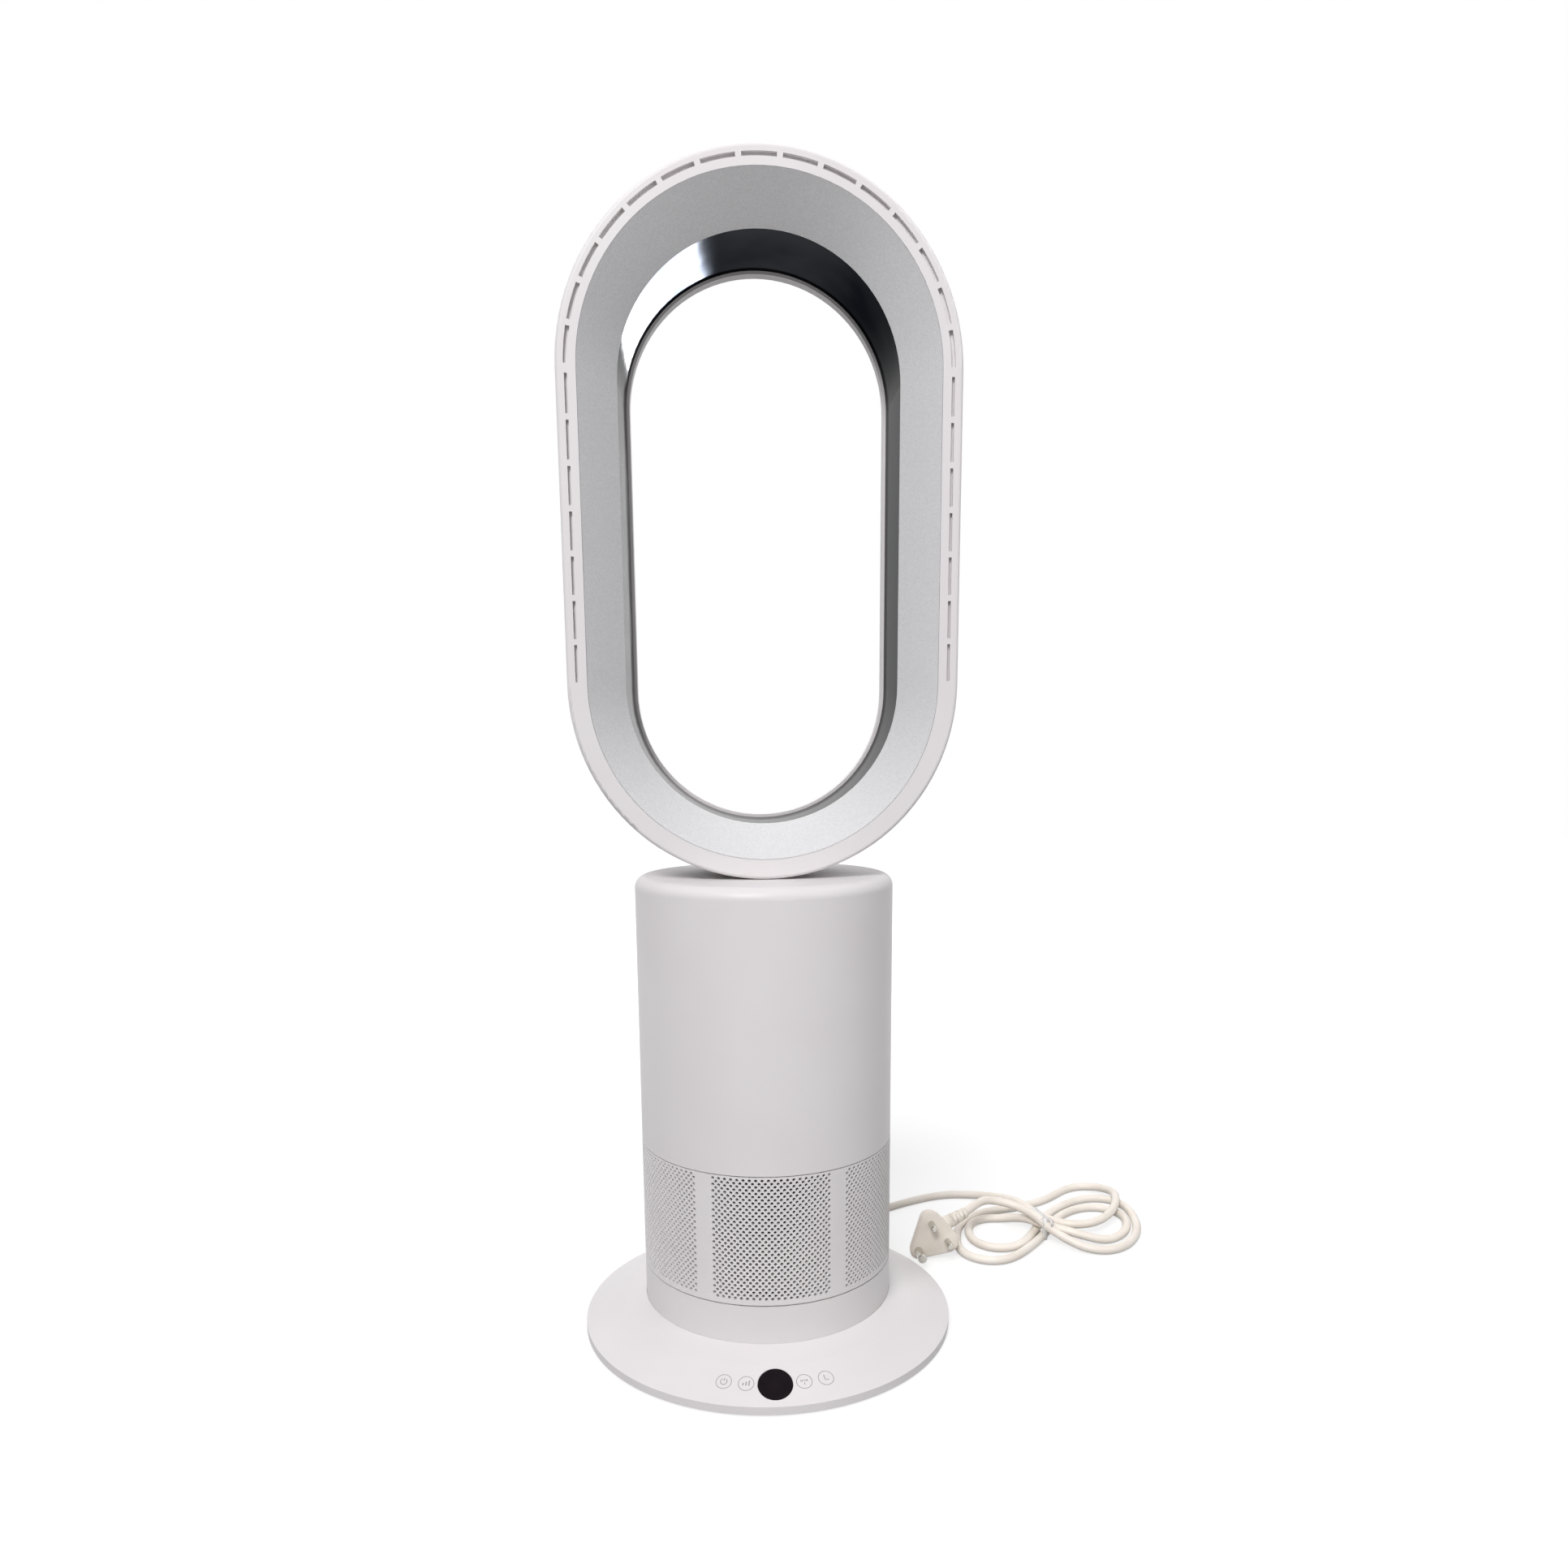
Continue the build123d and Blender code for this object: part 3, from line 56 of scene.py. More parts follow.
# ---- Places taken from the solids -------------------------------------------
GRILLE_LOW, GRILLE_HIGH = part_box("intake_grille")
GRILLE_SEAM = 0.5  # the open joint under the tower shell, in millimetres
GRILLE_TOP = GRILLE_HIGH.z - GRILLE_SEAM * MM
TOWER_RADIUS = GRILLE_HIGH.x
DOME_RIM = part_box("base_cover")[1].x
RIM_WIDTH = 12.8  # of the loop's white front ring, in millimetres


# ---- Small helpers ------------------------------------------------------------
def linear(hex_colour):
    """An sRGB hex colour as linear red, green and blue."""
    parts = [int(hex_colour[i:i + 2], 16) / 255 for i in (1, 3, 5)]
    return tuple(c / 12.92 if c <= 0.04045 else ((c + 0.055) / 1.055) ** 2.4 for c in parts)


def add_node(tree, kind, values=None, links=None, **settings):
    """Adds a node: settings are its properties, values its sockets' numbers, links their feeds."""
    node = tree.nodes.new(kind)
    for name, value in settings.items():
        setattr(node, name, value)
    for name, value in (values or {}).items():
        node.inputs[name].default_value = value
    for name, source in (links or {}).items():
        tree.links.new(source, node.inputs[name])
    return node


def new_material(name):
    """An empty node material and its tree."""
    material = bpy.data.materials.new(name)
    material.use_nodes = True
    material.node_tree.nodes.clear()
    return material, material.node_tree


def link_piece(name, mesh, material, body):
    """Puts a mesh in the scene with its material, as a piece that rides on a body."""
    piece = bpy.data.objects.new(name, mesh)
    bpy.context.scene.collection.objects.link(piece)
    piece.data.materials.append(material)
    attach(piece, body)
    return piece


def mesh_of(name, points, faces, smooth=True):
    """A checked mesh whose faces all look outwards."""
    mesh = bpy.data.meshes.new(name)
    mesh.from_pydata([tuple(p) for p in points], [], faces)
    mesh.validate()
    bm = bmesh.new()
    bm.from_mesh(mesh)
    bmesh.ops.recalc_face_normals(bm, faces=bm.faces)
    bm.to_mesh(mesh)
    bm.free()
    mesh.polygons.foreach_set("use_smooth", [smooth] * len(mesh.polygons))
    return mesh


# ---- Finishes -----------------------------------------------------------------
MIX_A, MIX_B, MIX_RESULT = 6, 7, 2  # a Mix node's colour sockets
NOISE_LOW, NOISE_HIGH = 0.3, 0.7  # most of a noise lies between these
FLAKE = 0.7  # across one flake of the silver lacquer, in millimetres
MILKY_DEPTH = 0.002  # how far light goes into the milky plastics, in metres


def grained(tree, grain_mm, detail=3.0):
    """Noise whose grain is that many millimetres, on the object's own coordinates."""
    place = add_node(tree, "ShaderNodeTexCoord")
    return add_node(
        tree, "ShaderNodeTexNoise", {"Scale": 1000 / grain_mm, "Detail": detail},
        {"Vector": place.outputs["Object"]},
    )


def spread(tree, source, low, high):
    """Maps a noise onto low to high."""
    limits = {"From Min": NOISE_LOW, "From Max": NOISE_HIGH, "To Min": low, "To Max": high}
    node = add_node(tree, "ShaderNodeMapRange", limits, {"Value": source})
    return node.outputs["Result"]


def tinted(tree, factor, dark, light):
    """A colour between dark and light. Mix has an A, a B and a Result for every data type, so
    the ones for colours are named by number."""
    node = add_node(
        tree, "ShaderNodeMix", {MIX_A: (*dark, 1), MIX_B: (*light, 1)}, {"Factor": factor},
        data_type="RGBA",
    )
    return node.outputs[MIX_RESULT]


def finish(name, dark, light, roughness, grain_mm, bump_mm, mottle_mm=20.0, **surface):
    """A moulded, cast or plated surface: a faint drift of colour over mottle_mm, and a fine
    grain that changes its gloss and relief. surface holds the shader's own fixed values."""
    material, tree = new_material(name)
    mottle = grained(tree, mottle_mm, 2.0)
    grain = grained(tree, grain_mm)
    colour = tinted(tree, spread(tree, mottle.outputs["Fac"], 0, 1), linear(dark), linear(light))
    gloss = spread(tree, grain.outputs["Fac"], roughness[0], roughness[1])
    bump = add_node(
        tree, "ShaderNodeBump", {"Strength": 0.5, "Distance": bump_mm * MM},
        {"Height": grain.outputs["Fac"]},
    )
    shader = add_node(
        tree, "ShaderNodeBsdfPrincipled", surface,
        {"Base Color": colour, "Roughness": gloss, "Normal": bump.outputs["Normal"]},
    )
    add_node(tree, "ShaderNodeOutputMaterial", links={"Surface": shader.outputs["BSDF"]})
    return material


def white_abs():
    """Injection-moulded ABS, polished tool: an even warm white with a clear soft highlight."""
    return finish(
        "White ABS, moulded and polished", "#E1DDDE", "#E4E1E1", (0.38, 0.42), 3.0, 0.002, 60.0,
        **{"IOR": 1.54, "Specular IOR Level": 0.25},
    )


def silver_lacquer():
    """Metallic lacquer sprayed on ABS: small aluminium flakes give a bright, satin, grainy grey."""
    material, tree = new_material("Silver flake lacquer, sprayed on ABS")
    place = add_node(tree, "ShaderNodeTexCoord")
    # Real flakes are 0.05 mm across, too fine to show, so these are coarser
    flakes = add_node(
        tree, "ShaderNodeTexVoronoi", {"Scale": 1000 / FLAKE},
        {"Vector": place.outputs["Object"]},
    )
    single = add_node(
        tree, "ShaderNodeSeparateColor", links={"Color": flakes.outputs["Color"]},
    )
    colour = tinted(tree, single.outputs["Red"], linear("#D6D6D7"), linear("#E2E2E3"))
    gloss = add_node(
        tree, "ShaderNodeMapRange", {"To Min": 0.36, "To Max": 0.44},
        {"Value": single.outputs["Green"]},
    )
    orange_peel = grained(tree, 2.5)
    bump = add_node(
        tree, "ShaderNodeBump", {"Strength": 0.3, "Distance": 0.008 * MM},
        {"Height": orange_peel.outputs["Fac"]},
    )
    shader = add_node(
        tree, "ShaderNodeBsdfPrincipled", {"Metallic": 0.15},
        {
            "Base Color": colour,
            "Roughness": gloss.outputs["Result"],
            "Normal": bump.outputs["Normal"],
        },
    )
    add_node(tree, "ShaderNodeOutputMaterial", links={"Surface": shader.outputs["BSDF"]})
    return material


def chrome_plate():
    """Black chrome plated on ABS: a dark mirror with the slight waves of the plastic under it."""
    return finish(
        "Black chrome plate on ABS", "#3C3D3F", "#434446", (0.08, 0.11), 14.0, 0.03, 40.0,
        **{"Metallic": 1.0, "Specular Tint": (0.34, 0.34, 0.34, 1)},
    )


def display_window():
    """Smoked acrylic, moulded and polished: near black with a plum cast and a sharp highlight."""
    return finish(
        "Smoked acrylic window", "#181417", "#1E181C", (0.09, 0.12), 3.0, 0.002, 8.0,
        **{"IOR": 1.49, "Specular IOR Level": 0.05},
    )


def lead_sheath():
    """Flexible PVC, extruded: an ivory skin with a dull sheen and faint drawing marks."""
    return finish(
        "Ivory PVC sheath, extruded", "#ECE4D9", "#F3EDE4", (0.36, 0.5), 1.2, 0.03, 25.0,
        **{"IOR": 1.53, "Subsurface Weight": 0.06, "Subsurface Scale": MILKY_DEPTH},
    )


def plug_pvc():
    """PVC moulded over the pins: ivory, a little greyer than the lead, with a fine matt grain."""
    return finish(
        "Ivory PVC, overmoulded", "#E6DDD1", "#ECE4D9", (0.38, 0.52), 0.9, 0.03, 9.0,
        **{"IOR": 1.53, "Subsurface Weight": 0.04, "Subsurface Scale": MILKY_DEPTH},
    )


def printed_grey():
    """Pad-printed ink on the cover: a thin, flat, light grey."""
    return finish(
        "Grey ink, pad printed", "#949094", "#A09CA0", (0.45, 0.55), 0.5, 0.004, 4.0,
        **{"IOR": 1.5},
    )


def tie_film():
    """Clear polyethylene strip with a wire in it: thin, milky and shiny."""
    return finish(
        "Clear polyethylene tie strip", "#ECEAE6", "#F6F5F3", (0.2, 0.3), 1.0, 0.05, 4.0,
        **{"IOR": 1.51, "Transmission Weight": 0.12},
    )


def inner_finishes():
    """The materials of the pieces inside and underneath, by the record's slot."""
    return {
        # Unpolished dark ABS: flat charcoal with a spark-eroded grain
        "dark_abs": finish(
            "Charcoal ABS, moulded matt", "#2E2E30", "#353537", (0.5, 0.64), 0.8, 0.04),
        # Glass-filled nylon: mid grey, dry, with streaks where the melt flowed
        "grey_nylon": finish(
            "Glass-filled nylon, moulded", "#5E6064", "#6B6D71", (0.46, 0.62), 0.6, 0.04, 12.0),
        # Acetal: milky, waxy and smooth
        "acetal": finish(
            "Natural acetal, moulded", "#DADAD4", "#E2E2DD", (0.28, 0.36), 1.0, 0.01,
            **{"Subsurface Weight": 0.05, "Subsurface Scale": MILKY_DEPTH}),
        # Nitrile rubber: black and dull, with a bloom
        "rubber": finish(
            "Nitrile rubber, moulded", "#1B1B1B", "#262626", (0.62, 0.8), 0.7, 0.05, 6.0),
        # Zinc-plated steel: bluish, bright, slightly mottled
        "steel": finish(
            "Zinc-plated steel, pressed", "#A4A8AC", "#B6BABE", (0.24, 0.36), 0.7, 0.02, 5.0,
            **{"Metallic": 1.0}),
        # Turned brass: warm yellow with fine tool marks
        "brass": finish(
            "Brass, turned", "#B8975A", "#C7A667", (0.2, 0.3), 0.4, 0.01, 5.0,
            **{"Metallic": 1.0}),
        # Cast iron: dark, grainy, as it left the sand
        "ballast_iron": finish(
            "Cast iron, sand cast", "#4A4A4C", "#57575A", (0.5, 0.7), 1.4, 0.15, 8.0,
            **{"Metallic": 0.8}),
        # Glass-epoxy board under solder mask: green with the weave just showing
        "circuit_board": finish(
            "Glass-epoxy board, solder masked", "#1F5A36", "#2A6B42", (0.3, 0.42), 0.5, 0.02, 3.0),
    }


# ---- Settings -----------------------------------------------------------------
class TowerFanSizes(bpy.types.PropertyGroup):
    """Sizes of the pieces that are made here"""
    lead_diameter: bpy.props.FloatProperty(
        name="Lead diameter", description="Outside diameter of the mains lead's sheath",
        default=0.007, unit="LENGTH", subtype="DISTANCE")
    hole_diameter: bpy.props.FloatProperty(
        name="Hole diameter", description="Diameter of one hole of the intake grille",
        default=0.0022, unit="LENGTH", subtype="DISTANCE")
    hole_pitch: bpy.props.FloatProperty(
        name="Hole pitch", description="Height from one hole of a column to the next",
        default=0.00433, unit="LENGTH", subtype="DISTANCE")
    hole_columns: bpy.props.IntProperty(
        name="Hole columns", description="Columns of holes that would go once round the tower",
        default=270)
    grille_wall: bpy.props.FloatProperty(
        name="Grille wall", description="Thickness of the grille's wall",
        default=0.0018, unit="LENGTH", subtype="DISTANCE")
    symbol_ring: bpy.props.FloatProperty(
        name="Symbol ring", description="Diameter of the ring round each touch symbol",
        default=0.0098, unit="LENGTH", subtype="DISTANCE")
    boot_length: bpy.props.FloatProperty(
        name="Boot length", description="Length of the tapered boot where the lead leaves the base",
        default=0.024, unit="LENGTH", subtype="DISTANCE")


class TowerFanColours(bpy.types.PropertyGroup):
    """Colours of the stage"""
    backdrop: bpy.props.FloatVectorProperty(
        name="Backdrop", description="Colour of the floor and of what is seen behind the fan",
        default=(1.0, 1.0, 1.0), subtype="COLOR")
    soft_light: bpy.props.FloatVectorProperty(
        name="Soft light", description="Colour of the lamps and of the light all round",
        default=linear("#FFFEFF"), subtype="COLOR")


def sizes():
    """The sizes set in the panel."""
    return bpy.context.scene.tower_fan_sizes


def colours():
    """The colours set in the panel."""
    return bpy.context.scene.tower_fan_colours


# ---- Intake grille --------------------------------------------------------------
PANELS = 6
PANEL_COLUMNS = 19  # pierced columns each side of a panel's middle column
PANEL_SILL = 3.4  # height of the plain strip under the holes, in millimetres
HOLE_SIDES = 8
BACK_GAP = 0.4  # from the holes' inner ends to the wall's back edge, in millimetres


class GrilleWall:
    """The points and faces of the pierced wall, which is laid out in diamond cells."""

    def __init__(self, pitch, columns, hole_radius, wall):
        self.half_row, self.step = pitch / 2, 2 * math.pi / columns
        self.columns, self.hole_radius, self.wall = columns, hole_radius, wall
        self.low, self.high = GRILLE_LOW.z, GRILLE_TOP
        self.rows = int((self.high - self.low) / self.half_row)
        self.start = self.high - self.rows * self.half_row
        self.points, self.faces, self.corners = [], [], {}

    def place(self, angle, height, radius=TOWER_RADIUS):
        """Adds a point and gives its number."""
        self.points.append((radius * math.sin(angle), -radius * math.cos(angle), height))
        return len(self.points) - 1

    def corner(self, column, row):
        """The number of a cell's corner, which up to four cells share."""
        key = (column % self.columns, row)
        if key not in self.corners:
            height = min(max(self.start + row * self.half_row, self.low), self.high)
            self.corners[key] = self.place(key[0] * self.step, height)
        return self.corners[key]

    def hole_ring(self, angle, height, radius):
        """The numbers of the points round a hole, on the wall's face or behind it."""
        ring = []
        for i in range(HOLE_SIDES):
            turn = 2 * math.pi * i / HOLE_SIDES
            ring.append(self.place(
                angle + self.hole_radius * math.cos(turn) / TOWER_RADIUS,
                height + self.hole_radius * math.sin(turn), radius))
        return ring

    def pierce(self, outline, angle, height):
        """A cell with a hole: four faces round the hole and its bore through the wall."""
        outer = self.hole_ring(angle, height, TOWER_RADIUS)
        inner = self.hole_ring(angle, height, TOWER_RADIUS - self.wall)
        quarter = HOLE_SIDES // 4
        for i in range(4):
            arc = [outer[(i * quarter + j) % HOLE_SIDES] for j in range(quarter, -1, -1)]
            self.faces.append([outline[i], outline[(i + 1) % 4]] + arc)
        for i in range(HOLE_SIDES):
            j = (i + 1) % HOLE_SIDES
            self.faces.append([outer[j], outer[i], inner[i], inner[j]])

    def cell(self, column, row, in_panel):
        """One diamond, or half of one where it meets the wall's top or bottom edge."""
        ends = [(column + 1, row), (column, row + 1), (column - 1, row), (column, row - 1)]
        if not 1 <= row <= self.rows - 1:
            ends = [e for e in ends if 0 <= e[1] <= self.rows] if row in (0, self.rows) else []
            if len(ends) == 3:
                self.faces.append([self.corner(*e) for e in ends])
            return
        outline = [self.corner(*e) for e in ends]
        height = self.start + row * self.half_row
        if in_panel and height > self.low + PANEL_SILL * MM:
            self.pierce(outline, column * self.step, height)
        else:
            self.faces.append(outline)

    def fill(self):
        """Lays the cells round the whole tower; every other place of a row holds one."""
        across = self.columns // PANELS
        for column in range(self.columns):
            offset = (column + across // 2) % across - across // 2
            for row in range(-1, self.rows + 1):
                if (column + row) % 2 == 0:
                    self.cell(column, row, abs(offset) <= PANEL_COLUMNS)

    def close(self):
        """Adds the wall's two edges."""
        inner = TOWER_RADIUS - self.wall - BACK_GAP * MM
        base = len(self.points)
        for i in range(self.columns):
            angle = 2 * math.pi * i / self.columns
            for height in (self.low, self.high):
                self.place(angle, height)
                self.place(angle, height, inner)
        for i in range(self.columns):
            a, b = base + 4 * i, base + 4 * ((i + 1) % self.columns)
            self.faces.append([a, b, b + 1, a + 1])
            self.faces.append([a + 2, a + 3, b + 3, b + 2])


class TOWERFAN_OT_intake_grille(bpy.types.Operator):
    """Builds the intake's pierced wall and puts it in the place of the plain one"""
    bl_idname = "towerfan.intake_grille"
    bl_label = "Intake grille"

    def execute(self, context):
        size = sizes()
        wall = GrilleWall(
            size.hole_pitch, size.hole_columns, size.hole_diameter / 2, size.grille_wall)
        wall.fill()
        wall.close()
        mesh = bpy.data.meshes.new("intake_wall")
        mesh.from_pydata(wall.points, [], wall.faces)
        mesh.validate()
        mesh.polygons.foreach_set("use_smooth", [False] * len(mesh.polygons))
        piece = link_piece(
            "intake_wall", mesh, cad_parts["tower_shell"].active_material, "tower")
        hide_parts("intake_grille")
        return {"FINISHED"}


# ---- Air loop ---------------------------------------------------------------------
BAFFLE_REACH = 4.0  # each side of the slots' middle line, in millimetres
BAFFLE_SETBACK, BAFFLE_WALL = 2.7, 1.0


def loop_track(reach, steps=48):
    """Points (x, z) round the loop at a distance from its middle line, in metres."""
    low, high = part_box("loop_front_ring")
    half = (high.x - low.x) / 2
    centres = (high.z - half, low.z + half)
    points = []
    for i in range(2 * steps + 2):
        arc, step = divmod(i, steps + 1)
        angle = math.pi * (step / steps + arc)
        points.append((reach * math.cos(angle), centres[arc] + reach * math.sin(angle)))
    return points


class TOWERFAN_OT_slot_baffle(bpy.types.Operator):
    """Builds the strip behind the front ring's slots, which turns the air towards the throat"""
    bl_idname = "towerfan.slot_baffle"
    bl_label = "Slot baffle"

    def execute(self, context):
        low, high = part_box("loop_front_ring")
        middle = high.x - RIM_WIDTH * MM / 2
        front = low.y + BAFFLE_SETBACK * MM
        points, faces = [], []
        for side, depth in ((-1, 0), (1, 0), (1, 1), (-1, 1)):
            track = loop_track(middle + side * BAFFLE_REACH * MM)
            points += [(x, front + depth * BAFFLE_WALL * MM, z) for x, z in track]
        count = len(points) // 4
        for k in range(4):
            for i in range(count):
                j, other = (i + 1) % count, (k + 1) % 4
                faces.append([k * count + i, k * count + j, other * count + j, other * count + i])
        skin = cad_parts["loop_front_ring"].active_material
        mesh = mesh_of("slot_baffle", points, faces, False)
        link_piece("slot_baffle", mesh, skin, "tower")
        return {"FINISHED"}


# ---- Touch symbols ----------------------------------------------------------------
SYMBOL_CIRCLE = 115.2  # millimetres from the tower's axis
SYMBOL_ANGLES = {"power": -16.2, "speed": -9.1, "swing": 9.1, "timer": 16.2}
DOME_LOW, DOME_SLOPE = 6.6, 11.8 / 27.0  # height at the rim in millimetres, rise per run
INK = 0.05  # how far the ink stands on the cover, in millimetres
RING_STROKE, RING_STEPS, RING_END = 0.42, 59, 354  # one more step after RING_END closes it


def on_dome(turn, across, up):
    """A point of the cover near a symbol: across and up are millimetres on the dome's slope."""
    run = SYMBOL_CIRCLE - up * math.cos(math.atan(DOME_SLOPE))
    angle = math.radians(turn) + across / SYMBOL_CIRCLE
    height = DOME_LOW + (DOME_RIM / MM - run) * DOME_SLOPE + INK
    return Vector((run * math.sin(angle), -run * math.cos(angle), height)) * MM


def ribbon(line, width, closed=False):
    """The two sides of a flat line of that width, as a strip of quads."""
    points, faces = [], []
    count = len(line)
    for i, here in enumerate(line):
        before = line[i - 1] if closed or i else here
        after = line[(i + 1) % count] if closed or i < count - 1 else here
        along = Vector(after) - Vector(before)
        side = Vector((-along.y, along.x)).normalized() * width / 2
        points += [Vector(here) + side, Vector(here) - side]
    for i in range(count if closed else count - 1):
        a, b = 2 * i, 2 * ((i + 1) % count)
        faces.append([a, b, b + 1, a + 1])
    return points, faces


def arc_line(radius, start, end, steps, centre=(0.0, 0.0)):
    """Points along an arc whose ends are given in degrees."""
    angles = [math.radians(start + (end - start) * i / steps) for i in range(steps + 1)]
    return [(centre[0] + radius * math.cos(a), centre[1] + radius * math.sin(a)) for a in angles]


def symbol_lines(name):
    """The strokes of a symbol as (points, width, closed), in millimetres."""
    if name == "power":
        return [(arc_line(2.1, 120, 420, 20), 0.5, False), ([(0, 2.7), (0, 0.4)], 0.5, False)]
    if name == "speed":
        bars = ((-1.9, 1.9), (0, 2.8), (1.9, 3.7))
        return [([(x, -1.5), (x, -1.5 + height)], 0.8, False) for x, height in bars]
    if name == "swing":
        return [
            (arc_line(3.2, 50, 130, 12, (0, -2.2)), 0.42, False),
            ([(-1.9, 1.6), (-2.2, 0.1), (-0.9, 0.5)], 0.38, False),
            ([(1.9, 1.6), (2.2, 0.1), (0.9, 0.5)], 0.38, False),
            ([(0, -2.4), (0, -0.4)], 0.42, False),
        ]
    return [([(-0.8, 2.4), (-0.8, -1.2), (1.7, -1.2)], 0.55, False)]


class TOWERFAN_OT_touch_symbols(bpy.types.Operator):
    """Prints the four ringed touch symbols on the base, two on each side of the display"""
    bl_idname = "towerfan.touch_symbols"
    bl_label = "Touch symbols"

    def execute(self, context):
        ring = sizes().symbol_ring / MM / 2
        ink = printed_grey()
        for name, turn in SYMBOL_ANGLES.items():
            points, faces = [], []
            around = (arc_line(ring, 0, RING_END, RING_STEPS), RING_STROKE, True)
            for line, width, closed in [around] + symbol_lines(name):
                strip, quads = ribbon(line, width, closed)
                faces += [[i + len(points) for i in quad] for quad in quads]
                points += strip
            mesh = mesh_of("symbol_" + name, [on_dome(turn, p[0], p[1]) for p in points], faces)
            link_piece("symbol_" + name, mesh, ink, "base")
        return {"FINISHED"}


# ---- Mains lead ---------------------------------------------------------------------
# The route's points in millimetres. It starts at the solids' gland and ends at
# the tip of the plug's relief
LEAD_START = (79.3, 132.0, 7.2)
LEAD_POINTS = [
    (91.2, 151.8, 4.6), (111, 167.5, 3.7), (140, 184, 3.7), (167, 194, 3.7), (192, 192, 3.9),
    (211, 179.5, 6.5), (223, 162, 11),
]
HANK_POINTS = [
    # Up beside the tie and round the first loop to its right
    (229.5, 145, 11.4), (235, 129, 11.4), (244, 114.5, 11.2), (258, 106.5, 11),
    (274, 107.5, 11), (289.5, 117.5, 11), (302.5, 133.5, 11), (311.5, 150.5, 11),
    (316.5, 167, 11), (317.5, 179.5, 8.8), (314.5, 191.5, 6.6), (306, 200.5, 4.9),
    (293, 203.2, 3.9), (280, 197.5, 3.7),
    # Under the tie and round the outer loop to its left
    (268.5, 187, 3.7), (255.5, 175.5, 3.7), (241, 167.5, 3.7), (226, 161, 3.7), (210, 157.5, 3.7),
    (192, 152, 3.7), (176, 140, 3.7), (165.5, 122.5, 3.7), (160, 103, 3.7), (158.2, 88, 3.7),
    (160, 75.5, 3.7), (167.5, 65.5, 3.7), (178.5, 60.5, 3.7), (191, 61.5, 3.7), (201.5, 68, 3.7),
    (212, 78, 3.7),
    # Under the tie again and round the smallest loop to its right
    (226, 94, 3.7), (239, 111.5, 3.7), (250.5, 129.5, 3.7), (261, 143, 3.7), (273.5, 152, 3.7),
    (287, 157, 3.7), (300.5, 155, 3.7), (310, 146, 3.7), (313.5, 133.5, 3.7), (310.5, 120.5, 3.7),
    (304.5, 107.5, 3.7), (294, 96, 3.7), (280, 89.5, 4.3), (264, 91, 8),
    # Over the strands and round the inner loop to the left
    (247, 98.5, 11.2), (234, 108, 11.2), (225, 121, 11), (217, 131.5, 7.5), (205.5, 139, 4),
    (192, 140, 3.7), (180.2, 133, 3.7), (174, 121, 3.7), (172.2, 109.5, 3.7), (173, 98, 3.7),
    (179.5, 87.2, 3.7), (191, 81.8, 3.7),
    # Under the tie and round the widest loop to the right
    (204, 83.8, 3.7), (214.5, 92.5, 3.7), (223, 104, 3.7), (231.5, 118, 3.7), (241, 133.5, 3.7),
    (253.5, 150, 3.7), (268.5, 163.5, 3.7), (283, 172.5, 3.7), (297, 176.8, 3.7), (311.5, 174, 3.7),
    (321, 162.5, 3.7), (323, 147, 3.7), (321, 130, 3.7), (316.5, 112.5, 3.7), (308, 95, 3.7),
    (295, 79.5, 3.7), (278, 71.5, 3.7), (261, 75, 4.5), (247, 83, 9), (236, 93, 14),
    (229, 106.5, 18.4), (223, 118.5, 19.2), (213.5, 127.5, 21), (201, 131, 23.5),
    (188.5, 127, 26.3), (176.5, 114, 27),
]
RELIEF_TIP = (166.6, 103.4, 25.6)


def lead_curve(name, points, diameter):
    """One smooth curve through the route, round in section."""
    curve = bpy.data.curves.new(name, "CURVE")
    curve.dimensions = "3D"
    curve.bevel_depth = diameter / 2
    curve.bevel_resolution = 5
    curve.resolution_u = 8
    curve.use_fill_caps = True
    spline = curve.splines.new("NURBS")
    spline.points.add(len(points) - 1)
    for target, point in zip(spline.points, points):
        target.co = (*(c * MM for c in point), 1.0)
    spline.order_u = 3
    spline.use_endpoint_u = True
    return curve


def spline_length(points):
    """The length of the curve that lead_curve draws, measured on a copy with no thickness."""
    curve = lead_curve("measure", points, 0.0)
    line = bpy.data.objects.new("measure", curve)
    bpy.context.scene.collection.objects.link(line)
    bpy.context.view_layer.update()
    drawn = line.evaluated_get(bpy.context.evaluated_depsgraph_get())
    mesh = bpy.data.meshes.new_from_object(drawn)
    spots = [v.co.copy() for v in mesh.vertices]
    bpy.data.objects.remove(line)
    bpy.data.curves.remove(curve)
    bpy.data.meshes.remove(mesh)
    return sum((b - a).length for a, b in zip(spots, spots[1:]))


def skin_faces(rings, count):
    """The faces of a closed skin over that many rings of count points each."""
    faces = []
    for ring in range(rings - 1):
        for i in range(count):
            j = (i + 1) % count
            low, high = ring * count, (ring + 1) * count
            faces.append([low + i, low + j, high + j, high + i])
    faces.append(list(range(count)))
    faces.append([(rings - 1) * count + i for i in reversed(range(count))])
    return faces


def turned_mesh(name, profile, axis_from, axis, sides=32):
    """A closed solid turned from (distance along the axis, radius) points, in metres."""
    axis = Vector(axis).normalized()
    side = axis.orthogonal().normalized()
    other = axis.cross(side)
    points = []
    for along, radius in profile:
        for i in range(sides):
            angle = 2 * math.pi * i / sides
            points.append(
                Vector(axis_from) + axis * along
                + (side * math.cos(angle) + other * math.sin(angle)) * radius)
    return mesh_of(name, points, skin_faces(len(profile), sides))


